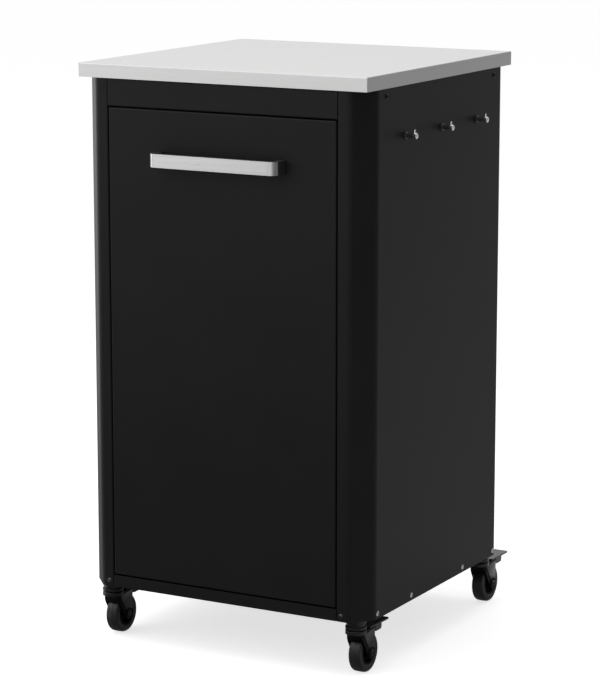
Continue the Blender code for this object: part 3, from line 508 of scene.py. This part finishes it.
def bowRun(inset, half, footY, tipY):
    bend = bowHandle["bend"]
    left = arc((middle.x - half + bend, tipY + bend), bend - inset, 180, 270, bowHandle["steps"])
    right = arc((middle.x + half - bend, tipY + bend), bend - inset, 270, 360, bowHandle["steps"])
    leftFoot, rightFoot = middle.x - half + inset, middle.x + half - inset
    return [Vector((leftFoot, footY))] + left + right + [Vector((rightFoot, footY))]


def cutRun(run, y):
    # the left foot, the part in front of y and the right foot
    last = max(i for i, point in enumerate(run) if point.y > y and point.x < middle.x)
    behind, ahead = run[last], run[last + 1]
    left = behind.lerp(ahead, (behind.y - y) / (behind.y - ahead.y))
    right = Vector((2 * middle.x - left.x, left.y))
    after = len(run) - 1 - last
    front = [left] + run[last + 1: after] + [right]
    return run[: last + 1] + [left], front, [right] + run[after:]


def addHandle():
    bodyLow, bodyHigh = (Vector(corner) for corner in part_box("handle_body"))
    coverLow, coverHigh = (Vector(corner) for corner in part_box("handle_cover"))
    half = (bodyHigh.x - bodyLow.x) / 2
    footY, tipY, wrapY = bodyHigh.y, coverLow.y, coverHigh.y
    skin = bowHandle["strip"] + bowHandle["gap"]
    left, _, right = cutRun(bowRun(0, half, footY, tipY), wrapY + bowHandle["gap"])
    _, core, _ = cutRun(bowRun(skin, half, footY, tipY), wrapY + bowHandle["gap"])
    fingerX = half - bowHandle["leg"]
    fingerY = tipY + skin + bowHandle["bar"]
    bend = bowHandle["fingerBend"]
    finger = [Vector((middle.x + fingerX, footY))]
    finger += arc((middle.x + fingerX - bend, fingerY + bend), bend, 360, 270, bowHandle["steps"])
    finger += arc((middle.x - fingerX + bend, fingerY + bend), bend, 270, 180, bowHandle["steps"])
    finger.append(Vector((middle.x - fingerX, footY)))
    outline = left + core + right + finger
    _, outer, _ = cutRun(bowRun(0, half, footY, tipY), wrapY)
    _, inner, _ = cutRun(bowRun(bowHandle["strip"], half, footY, tipY), wrapY)
    strip = outer + inner[::-1]

    def bodyShape(work):
        edge, steps = bowHandle["bodyEdge"], bowHandle["bodyEdgeSteps"]
        addSlab(work, outline, bodyLow.z, bodyHigh.z, edge, steps)

    def stripShape(work):
        addSlab(work, strip, coverLow.z, coverHigh.z, bowHandle["stripEdge"])

    body = meshPiece("handleMoulding", bodyShape, "handle_moulding", "drawer")
    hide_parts("handle_body")
    cover = meshPiece("handleStrip", stripShape, "handle_stainless", "drawer")
    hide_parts("handle_cover")


addHandle()
print("handle added")


# Pegs on the right side: a stem with a flange, and a bright tip with an upright pin
sidePeg = {
    "flangeRadius": 0.0060,
    "flange": 0.0020,
    "stemRadius": 0.0035,
    "round": 0.0005,
    "discRadius": 0.0045,
    "disc": 0.0020,
    "pinRadius": 0.00175,
    "pinInboard": 0.0040,
    "pinRise": 0.0090,
    "steps": 48,
}


def addPeg(word):
    stemLow, stemHigh = (Vector(corner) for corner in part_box(f"peg_stem_{word}"))
    tipLow, tipHigh = (Vector(corner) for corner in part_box(f"peg_tip_{word}"))
    place = Vector((stemLow.x, (stemLow.y + stemHigh.y) / 2, (stemLow.z + stemHigh.z) / 2))
    edge, steps = sidePeg["round"], sidePeg["steps"]
    stemLength = stemHigh.x - stemLow.x
    joint = tipLow.x - stemLow.x
    end = tipHigh.x - stemLow.x
    thin, wide, disc = sidePeg["stemRadius"], sidePeg["flangeRadius"], sidePeg["discRadius"]
    flange = sidePeg["flange"]
    stem = [(0, 0), (wide, 0)] + rounded((wide - edge, flange - edge), edge, 0, 90)
    stem += [(thin + edge, flange), (thin, flange + edge), (thin, stemLength), (0, stemLength)]
    discFoot = end - sidePeg["disc"]
    tip = [(0, joint), (thin - edge / 2, joint), (thin, joint + edge / 2), (thin, discFoot)]
    tip += [(disc - edge, discFoot), (disc, discFoot + edge)]
    tip += rounded((disc - edge, end - edge), edge, 0, 90) + [(0, end)]
    pinFoot = Vector((tipHigh.x - sidePeg["pinInboard"], place.y, place.z))
    pinRadius, rise = sidePeg["pinRadius"], sidePeg["pinRise"]
    pin = [(0, 0), (pinRadius, 0)] + rounded((pinRadius - edge, rise - edge), edge, 0, 90)
    pin.append((0, rise))

    def stemShape(work):
        addTurned(work, stem, place, (1, 0, 0), steps)

    def tipShape(work):
        addTurned(work, tip, place, (1, 0, 0), steps)
        addTurned(work, pin, pinFoot, (0, 0, 1), steps // 2)

    stemPiece = meshPiece(f"pegStem_{word}", stemShape, "cabinet_black", "cabinet", pegFinish)
    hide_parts(f"peg_stem_{word}")
    tipPiece = meshPiece(f"pegTip_{word}", tipShape, "chrome_tip", "cabinet")
    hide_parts(f"peg_tip_{word}")


for word in ("front", "middle", "rear"):
    addPeg(word)
print("pegs added")


# Casters: the turned pieces are made rounder and finer than their solids
casterHead = {
    "radius": 0.0165,
    "flange": 0.0062,
    "neck": 0.0042,
    "neckRadius": 0.0142,
    "ring": 0.0043,
    "round": 0.0009,
    "gap": 0.0003,
    "crownStep": 0.0015,
    "crown": 0.0062,
    "crownRound": 0.0018,
    "crownSteps": 6,
    "bossRadius": 0.0125,
    "ringWall": 0.0025,
    "pinRadius": 0.0040,
    "pinHead": 0.0055,
    "pinHeadHeight": 0.0026,
    "pinTaper": 0.0020,
    "stemRadius": 0.0050,
    "threadPitch": 0.0015,
    "threadDepth": 0.0004,
}


def addCasterHead(word):
    low, high = (Vector(corner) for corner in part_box(f"caster_head_{word}"))
    centre = (low + high) / 2
    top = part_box("base_pan")[0][2] - casterHead["gap"]
    radius, edge, neck = casterHead["radius"], casterHead["round"], casterHead["neckRadius"]
    flangeZ = top - casterHead["flange"]
    neckZ = flangeZ - casterHead["neck"]
    ringZ = neckZ - casterHead["ring"]
    stem, pin, pinHead = casterHead["stemRadius"], casterHead["pinRadius"], casterHead["pinHead"]
    root, pitch = stem - casterHead["threadDepth"], casterHead["threadPitch"]
    profile = [(0, high.z), (root, high.z)]
    height = high.z - pitch / 2
    while height > top + pitch:
        profile += [(stem, height), (root, height - pitch / 2)]
        height -= pitch
    profile += [(stem, top), (radius - edge / 2, top), (radius, top - edge / 2)]
    profile += rounded((radius - edge, flangeZ + edge), edge, 0, -90)
    profile += [(neck, flangeZ), (neck, neckZ)]
    profile += rounded((radius - edge, neckZ - edge), edge, 90, 0)
    pinHeadTop = low.z + casterHead["pinHeadHeight"]
    profile += [(radius, ringZ), (pin, ringZ), (pin, pinHeadTop), (pinHead, pinHeadTop)]
    profile += [(pinHead - casterHead["pinTaper"], low.z), (0, low.z)]
    head = meshPiece(
        f"casterHead_{word}",
        lambda work: addTurned(work, profile, (centre.x, centre.y, 0), (0, 0, 1)),
        "caster_moulding",
        "cabinet",
    )
    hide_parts(f"caster_head_{word}")
    crownTop = ringZ - casterHead["gap"]
    shoulder = crownTop - casterHead["crownStep"]
    crownLow = shoulder - casterHead["crown"] - proud
    outer, curve, boss = radius + proud, casterHead["crownRound"], casterHead["bossRadius"] + proud
    wall, over = casterHead["ringWall"], shoulder + proud
    crown = [(boss - wall, crownTop + proud), (boss, crownTop + proud), (boss, over)]
    crown += rounded((outer - curve, over - curve), curve, 90, 0, casterHead["crownSteps"])
    crown += [(outer, crownLow), (outer - wall, crownLow)]
    meshPiece(
        f"casterCrown_{word}",
        lambda work: addTurned(work, crown, (centre.x, centre.y, 0), (0, 0, 1), ring=True),
        "caster_moulding",
        f"caster_{word}",
    )


def mirrored(half):
    # a wheel's profile from the half of it on one side of the middle plane
    return half + [(radius, -place) for radius, place in reversed(half) if place != 0]


casterWheel = {
    "tyreDepth": 0.0115,
    "lip": 0.0008,
    "beadGroove": 0.0004,
    "shoulder": 0.0038,
    "shoulderSteps": 8,
    "crownRise": 0.0003,
    "seamRise": 0.00012,
    "seamHalf": 0.0003,
    "gap": 0.0003,
    "rimWall": 0.0028,
    "rimInset": 0.0012,
    "rimRound": 0.0006,
    "webHalf": 0.0025,
    "webRound": 0.0020,
    "bossRadius": 0.0070,
    "bossDraft": 0.0010,
    "bore": 0.0033,
    "steps": 96,
}


def addCasterWheel(word):
    low, high = (Vector(corner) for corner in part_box(f"caster_tyre_{word}"))
    centre = jointPlaces[f"wheel_spin_{word}"]
    radius, face = (high.z - low.z) / 2, (high.x - low.x) / 2
    inner = radius - casterWheel["tyreDepth"]
    lip, groove, shoulder = casterWheel["lip"], casterWheel["beadGroove"], casterWheel["shoulder"]
    crownRise, steps = casterWheel["crownRise"], casterWheel["steps"]
    tyre = [(inner, face - lip), (inner + lip / 2, face - groove), (inner + lip, face)]
    bead = inner + 3 * lip  # three lips wide, then a groove
    tyre += [(bead, face), (bead + lip / 2, face - groove), (bead + lip, face - groove / 2)]
    turnCentre = (radius - crownRise - shoulder, face - shoulder)
    tyre += rounded(turnCentre, shoulder, 90, 0, casterWheel["shoulderSteps"])
    tyre += [(radius - casterWheel["seamRise"], casterWheel["seamHalf"]), (radius, 0)]
    tyrePiece = meshPiece(
        f"casterTyre_{word}",
        lambda work: addTurned(work, mirrored(tyre), centre, (1, 0, 0), steps, ring=True),
        "caster_tyre",
        f"wheel_{word}",
    )
    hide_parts(f"caster_tyre_{word}")
    hubLow, hubHigh = (Vector(corner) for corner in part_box(f"caster_hub_{word}"))
    rim = (hubHigh.z - hubLow.z) / 2
    boss = (hubHigh.x - hubLow.x) / 2
    rimFace = face - casterWheel["rimInset"]
    edge, web, curve = casterWheel["rimRound"], casterWheel["webHalf"], casterWheel["webRound"]
    rimInner = rim - casterWheel["rimWall"]
    bossRadius = casterWheel["bossRadius"]
    hub = [(casterWheel["bore"], boss), (bossRadius - casterWheel["bossDraft"] - edge, boss)]
    hub += [(bossRadius - casterWheel["bossDraft"], boss - edge), (bossRadius, web + curve)]
    hub += rounded((bossRadius + curve, web + curve), curve, 180, 270)[1:]
    hub += rounded((rimInner - curve, web + curve), curve, 270, 360)
    hub += [(rimInner, rimFace - edge), (rimInner + edge, rimFace)]
    hub += [(rim - edge, rimFace), (rim, rimFace - edge)]
    # the hub is painted in shade, with the darker copy of the caster plastic
    hubPiece = meshPiece(
        f"casterHub_{word}",
        lambda work: addTurned(work, mirrored(hub), centre, (1, 0, 0), steps, ring=True),
        "caster_moulding",
        f"wheel_{word}",
        paintedShadeFinish,
    )
    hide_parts(f"caster_hub_{word}")


casterAxle = {
    "radius": 0.0030,
    "head": 0.0052,
    "headHeight": 0.0018,
    "socket": 0.0020,
    "socketDepth": 0.0010,
    "socketEdge": 0.0003,
    "domeSteps": 5,
    "steps": 48,
}


def addCasterAxle(word):
    low, high = (Vector(corner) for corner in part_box(f"caster_axle_{word}"))
    centre = jointPlaces[f"wheel_spin_{word}"]
    end = (high.x - low.x) / 2
    face = end - casterAxle["headHeight"]
    head, socket, edge = casterAxle["head"], casterAxle["socket"], casterAxle["socketEdge"]
    floor = end - casterAxle["socketDepth"]
    dome = casterAxle["headHeight"] / 2
    half = [(0, floor), (socket - edge, floor), (socket, floor + edge)]
    half += [(socket, end - edge), (socket + edge, end)]
    half += rounded((head - dome, end - dome), dome, 90, 0, casterAxle["domeSteps"])
    half += [(head, face), (casterAxle["radius"], face)]
    axle = meshPiece(
        f"casterAxle_{word}",
        lambda work: addTurned(work, mirrored(half), centre, (1, 0, 0), casterAxle["steps"]),
        "caster_moulding",
        f"caster_{word}",
    )
    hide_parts(f"caster_axle_{word}")


# A raised flat pad on each fork leg, and a dished cap round each end of the axle. The pad's corners
# are given along Y from the swivel's axis and up from the floor.
forkPad = {
    "outline": (
        (-0.0015, 0.0660), (0.0110, 0.0466), (0.0137, 0.0410), (0.0152, 0.0396),
        (0.0240, 0.0370), (0.0340, 0.0370), (0.0340, 0.0690),
    ),
    "thickness": 0.0006,
    "edge": 0.0003,
}
axleCap = {"radius": 0.0094, "rimHeight": 0.0011, "dishHeight": 0.0003, "round": 0.0005, "steps": 48}


def addForkPads(word):
    swivel = jointPlaces[f"swivel_{word}"]
    centre = jointPlaces[f"wheel_spin_{word}"]
    low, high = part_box(f"caster_axle_{word}")
    legFace = (high[0] - low[0]) / 2 - casterAxle["headHeight"] - casterHead["gap"] + proud

    def padShape(work):
        for side in (-1, 1):
            before = len(work.verts)
            addSlab(work, forkPad["outline"], 0, forkPad["thickness"], forkPad["edge"])
            work.verts.ensure_lookup_table()
            # the slab's outline stands upright, along Y and Z, and its thickness runs along X
            upright = Matrix(((0, 0, side, 0), (1, 0, 0, 0), (0, 1, 0, 0), (0, 0, 0, 1)))
            place = Matrix.Translation((swivel.x + side * legFace, swivel.y, 0))
            bmesh.ops.transform(work, matrix=place @ upright, verts=work.verts[before:])

    meshPiece(f"forkPads_{word}", padShape, "caster_moulding", f"caster_{word}")
    radius, edge = axleCap["radius"], axleCap["round"]
    rim, dish = axleCap["rimHeight"], axleCap["dishHeight"]
    cap = [(casterAxle["radius"], 0), (casterAxle["radius"], dish), (casterAxle["head"] - edge, dish)]
    cap += [(radius - 3 * edge, rim - edge / 2), (radius - 2 * edge, rim), (radius - edge, rim)]
    cap += [(radius, rim - edge), (radius, 0)]

    def capShape(work):
        for side in (-1, 1):
            place = (centre.x + side * legFace, centre.y, centre.z)
            addTurned(work, cap, place, (side, 0, 0), axleCap["steps"], ring=True)

    # the caps are painted in shade, with the darker copy of the caster plastic
    meshPiece(f"axleCaps_{word}", capShape, "caster_moulding", f"caster_{word}", paintedShadeFinish)


for word in casterWords:
    addForkPads(word)
    addCasterHead(word)
    addCasterWheel(word)
    addCasterAxle(word)
print("casters dressed")

# Screws: low domes with a hex socket
domeScrew = {"radius": 0.0042, "height": 0.0013, "socket": 0.0019, "depth": 0.0011, "steps": 24}
smallScrew = {"radius": 0.0035, "height": 0.0012, "socket": 0.0013, "depth": 0.0009, "steps": 24}
screwKinds = {
    "bright": (domeScrew, "zinc_steel", brightScrewFinish),
    "black": (domeScrew, "cabinet_black", blackScrewFinish),
    "smallGrey": (smallScrew, "zinc_steel", greyScrewFinish),
    "smallBlack": (smallScrew, "cabinet_black", blackScrewFinish),
}
# the rim of the socket and the dome outside it, as shares of the screw's sizes
socketRim = {"below": 0.97, "wide": 1.25}
screwDome = ((0.93, 0.55), (0.62, 0.86), (0.22, 1.0), (0.0, 1.0))  # height and radius
sixthTurn = math.tau / 6


def addScrew(work, place, axis, screw):
    steps = screw["steps"]
    radius, height, socket = screw["radius"], screw["height"], screw["socket"]
    levels = [(height - screw["depth"], socket, True), (height * socketRim["below"], socket, True)]
    levels.append((height, socket * socketRim["wide"], False))
    levels += [(height * up, radius * out, False) for up, out in screwDome]
    rings = []
    for level, size, hexagon in levels:
        ring = []
        for step in range(steps):
            angle = math.tau * step / steps
            reach = size
            if hexagon:
                reach = size / math.cos((angle + sixthTurn / 2) % sixthTurn - sixthTurn / 2)
            ring.append(work.verts.new((reach * math.cos(angle), reach * math.sin(angle), level)))
        rings.append(ring)
    for lower, upper in zip(rings, rings[1:]):
        for step in range(steps):
            after = (step + 1) % steps
            work.faces.new((lower[step], upper[step], upper[after], lower[after]))
    work.faces.new(rings[0])
    work.faces.new(rings[-1])
    made = [vert for ring in rings for vert in ring]
    stand = Vector(place) + Vector(axis) * proud
    bmesh.ops.transform(work, matrix=Matrix.Translation(stand) @ pointing(axis), verts=made)


def screwPiece(name, place, axis, kind, body="cabinet"):
    screw, slot, finish = screwKinds[kind]
    meshPiece(name, lambda work: addScrew(work, place, axis, screw), slot, body, finish)


# places along and across are from the unit's middle
sideScrews = {
    "low": 0.0981,
    "lowAlong": (-0.206, -0.0917, 0.0917, 0.206),
    "high": 0.8818,
    "highAlong": (-0.187, 0.187),
}
flangeScrews = {"across": 0.207, "low": 0.0987}


def addSideScrews():
    for side, word in ((-1, "left"), (1, "right")):
        low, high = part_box(f"side_panel_{word}")
        faceX = high[0] if side > 0 else low[0]
        for i, along in enumerate(sideScrews["lowAlong"]):
            place = (faceX, middle.y + along, sideScrews["low"])
            screwPiece(f"sideScrewLow_{word}_{i}", place, (side, 0, 0), "bright")
        for i, along in enumerate(sideScrews["highAlong"]):
            place = (faceX, middle.y + along, sideScrews["high"])
            screwPiece(f"sideScrewHigh_{word}_{i}", place, (side, 0, 0), "black")
        for end, faceY, endWord in ((-1, low[1], "front"), (1, high[1], "rear")):
            place = (middle.x + side * flangeScrews["across"], faceY, flangeScrews["low"])
            screwPiece(f"flangeScrew_{endWord}_{word}", place, (0, end, 0), "smallGrey")


backScrews = {"fromEdge": 0.007, "rows": 4, "across": (-0.12, 0.12)}


def addBackScrews():
    low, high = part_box("back_panel")
    edge, last = backScrews["fromEdge"], backScrews["rows"] - 1
    height = high[2] - low[2] - 2 * edge
    places = []
    for x in (low[0] + edge, high[0] - edge):
        places += [(x, low[2] + edge + height * row / last) for row in range(last + 1)]
    for across in backScrews["across"]:
        places += [(middle.x + across, low[2] + edge), (middle.x + across, high[2] - edge)]
    for i, (x, z) in enumerate(places):
        screwPiece(f"backScrew_{i}", (x, high[1], z), (0, 1, 0), "smallBlack")


linerScrews = {"fromEdge": 0.014, "rows": 3}


def addLinerScrews():
    low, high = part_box("drawer_front_liner")
    edge, rows = linerScrews["fromEdge"], linerScrews["rows"]
    height = high[2] - low[2] - 2 * edge
    places = []
    for x in (low[0] + edge, high[0] - edge):
        places += [(x, high[1], low[2] + edge + height * (row + 1) / rows) for row in range(rows)]
    for i, place in enumerate(places):
        screwPiece(f"linerScrew_{i}", place, (0, 1, 0), "smallGrey", "drawer")


bracketScrews = {"along": (-0.16, 0.0, 0.16), "footAcross": 0.013, "footTop": 0.0030}


def addBracketScrews():
    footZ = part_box("base_pan")[0][2] + bracketScrews["footTop"]
    for side, word in ((-1, "left"), (1, "right")):
        low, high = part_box(f"runner_bracket_{word}")
        footX = (high[0] if side > 0 else low[0]) - side * bracketScrews["footAcross"]
        for i, along in enumerate(bracketScrews["along"]):
            place = (footX, middle.y + along, footZ)
            screwPiece(f"bracketScrew_{word}_{i}", place, (0, 0, 1), "smallGrey")


addSideScrews()
addBackScrews()
addLinerScrews()
addBracketScrews()
print("screws added")

studio = {
    "floorColour": (0.80, 0.80, 0.80),
    "floorReach": 45.0,
    "floorSteps": 96,
    "floorWhite": 0.70,
    "surroundWhite": 1.0,
    "ambient": 0.36,
}


def seenDirectly(tree):
    # 1 for rays from the camera and for those that glossy or clear surfaces send on, otherwise 0
    path = addNode(tree, "ShaderNodeLightPath")
    rays = path.outputs["Is Camera Ray"]
    for name in ("Is Glossy Ray", "Is Transmission Ray"):
        rays = worked(tree, "MAXIMUM", rays, path.outputs[name])
    return rays


def addFloor():
    material = bpy.data.materials.new("paleFloor")
    tree, output = newTree(material)
    diffuse = addNode(tree, "ShaderNodeBsdfDiffuse", {"Color": tinted(studio["floorColour"])})
    strength = worked(tree, "MULTIPLY", seenDirectly(tree), studio["floorWhite"])
    glow = addNode(tree, "ShaderNodeEmission", {"Color": tinted((1, 1, 1)), "Strength": strength})
    both = addNode(tree, "ShaderNodeAddShader", {0: diffuse.outputs[0], 1: glow.outputs[0]})
    tree.links.new(both.outputs[0], output.inputs["Surface"])
    mesh = bpy.data.meshes.new("floor")
    work = bmesh.new()
    reach, steps = studio["floorReach"], studio["floorSteps"]
    bmesh.ops.create_circle(work, cap_ends=True, segments=steps, radius=reach)
    work.to_mesh(mesh)
    work.free()
    mesh.materials.append(material)
    floor = bpy.data.objects.new("floor", mesh)
    bpy.context.scene.collection.objects.link(floor)


def addSurround():
    world = bpy.data.worlds.new("studioSurround")
    bpy.context.scene.world = world
    tree, output = newTree(world, "ShaderNodeOutputWorld")
    strength = spread(tree, seenDirectly(tree), studio["ambient"], studio["surroundWhite"], 0, 1)
    settings = {"Color": tinted((1, 1, 1)), "Strength": strength}
    background = addNode(tree, "ShaderNodeBackground", settings)
    tree.links.new(background.outputs[0], output.inputs["Surface"])


# Grey boards that only reflections show. The tone of each changes between two shares of its height,
# or of its depth where it lies on the floor.
boards = {
    "rightBoard": {
        "centre": (1.30, 1.9, 0.9), "facing": (-1, 0, 0), "size": (4.4, 1.8),
        "tones": (0.62, 0.26), "from": 0.0, "to": 0.40,
    },
    "rightFloorBoard": {
        "centre": (2.2, 1.9, 0.004), "facing": (0, 0, 1), "size": (3.8, 4.6),
        "tones": (0.56, 0.56), "from": 0.0, "to": 1.0,
    },
    "cornerBoard": {
        "centre": (1.30, -1.4, 0.9), "facing": (-1, 0, 0), "size": (2.2, 1.8),
        "tones": (0.12, 0.12), "from": 0.0, "to": 1.0,
    },
    "frontBoard": {
        "centre": (-0.8, -1.1, 0.4), "facing": (0, 1, 0), "size": (4.2, 0.8),
        "tones": (0.25, 0.93), "from": 0.0, "to": 1.0,
    },
    "frontDarkBoard": {
        "centre": (-0.25, -1.08, 0.6), "facing": (0, 1, 0), "size": (0.07, 0.25),
        "tones": (0.3, 0.3), "from": 0.0, "to": 1.0,
    },
    "frontBrightBoard": {
        "centre": (0.2, -1.08, 0.6), "facing": (0, 1, 0), "size": (0.5, 0.25),
        "tones": (1.0, 1.0), "from": 0.0, "to": 1.0,
    },
    "frontGreyBoard": {
        "centre": (0.95, -1.08, 0.6), "facing": (0, 1, 0), "size": (0.6, 0.25),
        "tones": (0.2, 0.2), "from": 0.0, "to": 1.0,
    },
    "frontFloorBoard": {
        "centre": (-0.6, -0.725, 0.004), "facing": (0, 0, 1), "size": (3.6, 0.75),
        "tones": (0.20, 0.20), "from": 0.0, "to": 1.0,
    },
    "underBoard": {
        "centre": (0.0, 0.0, 0.004), "facing": (0, 0, 1), "size": (0.6, 0.7),
        "tones": (0.15, 0.15), "from": 0.0, "to": 1.0,
    },
    "leftBoard": {
        "centre": (-1.10, 0.8, 0.45), "facing": (1, 0, 0), "size": (2.8, 0.9),
        "tones": (0.72, 1.95), "from": 0.0, "to": 1.0,
    },
    "leftFloorBoard": {
        "centre": (-0.70, 0.9, 0.004), "facing": (0, 0, 1), "size": (0.8, 2.2),
        "tones": (0.55, 0.55), "from": 0.0, "to": 1.0,
    },
}


def addBoard(name, board):
    material = bpy.data.materials.new(name)
    tree, output = newTree(material)
    places = addNode(tree, "ShaderNodeTexCoord").outputs["Generated"]
    rise = addNode(tree, "ShaderNodeSeparateXYZ", {"Vector": places}).outputs["Y"]
    strength = spread(tree, rise, *board["tones"], board["from"], board["to"])
    glow = addNode(tree, "ShaderNodeEmission", {"Color": tinted((1, 1, 1)), "Strength": strength})
    tree.links.new(glow.outputs[0], output.inputs["Surface"])
    mesh = bpy.data.meshes.new(name)
    work = bmesh.new()
    bmesh.ops.create_grid(work, x_segments=1, y_segments=1, size=0.5)  # a square metre
    across, up = board["size"]
    bmesh.ops.transform(work, matrix=Matrix.Diagonal((across, up, 1, 1)), verts=work.verts)
    work.to_mesh(mesh)
    work.free()
    mesh.materials.append(material)
    piece = bpy.data.objects.new(name, mesh)
    piece.matrix_world = Matrix.Translation(board["centre"]) @ pointing(board["facing"])
    for rays in ("camera", "diffuse", "transmission", "shadow", "volume_scatter"):
        setattr(piece, f"visible_{rays}", False)
    bpy.context.scene.collection.objects.link(piece)


lamps = {
    "keyLamp": {"place": (-2.4, -2.6, 2.6), "size": 4.0, "power": 45.0},
    "topLamp": {"place": (-0.3, 0.0, 3.4), "size": 4.0, "power": 45.0},
}
lampTarget = (0.0, 0.0, 0.5)


def addLamps():
    for name, lamp in lamps.items():
        data = bpy.data.lights.new(name, "AREA")
        data.shape = "DISK"
        data.size = lamp["size"]
        data.energy = lamp["power"]
        light = bpy.data.objects.new(name, data)
        light.location = lamp["place"]
        towards = Vector(lampTarget) - Vector(lamp["place"])
        light.rotation_euler = towards.to_track_quat("-Z", "Y").to_euler()
        bpy.context.scene.collection.objects.link(light)


addFloor()
addSurround()
for name, board in boards.items():
    addBoard(name, board)
addLamps()
bpy.context.scene.view_settings.view_transform = "Standard"
print("studio lit")
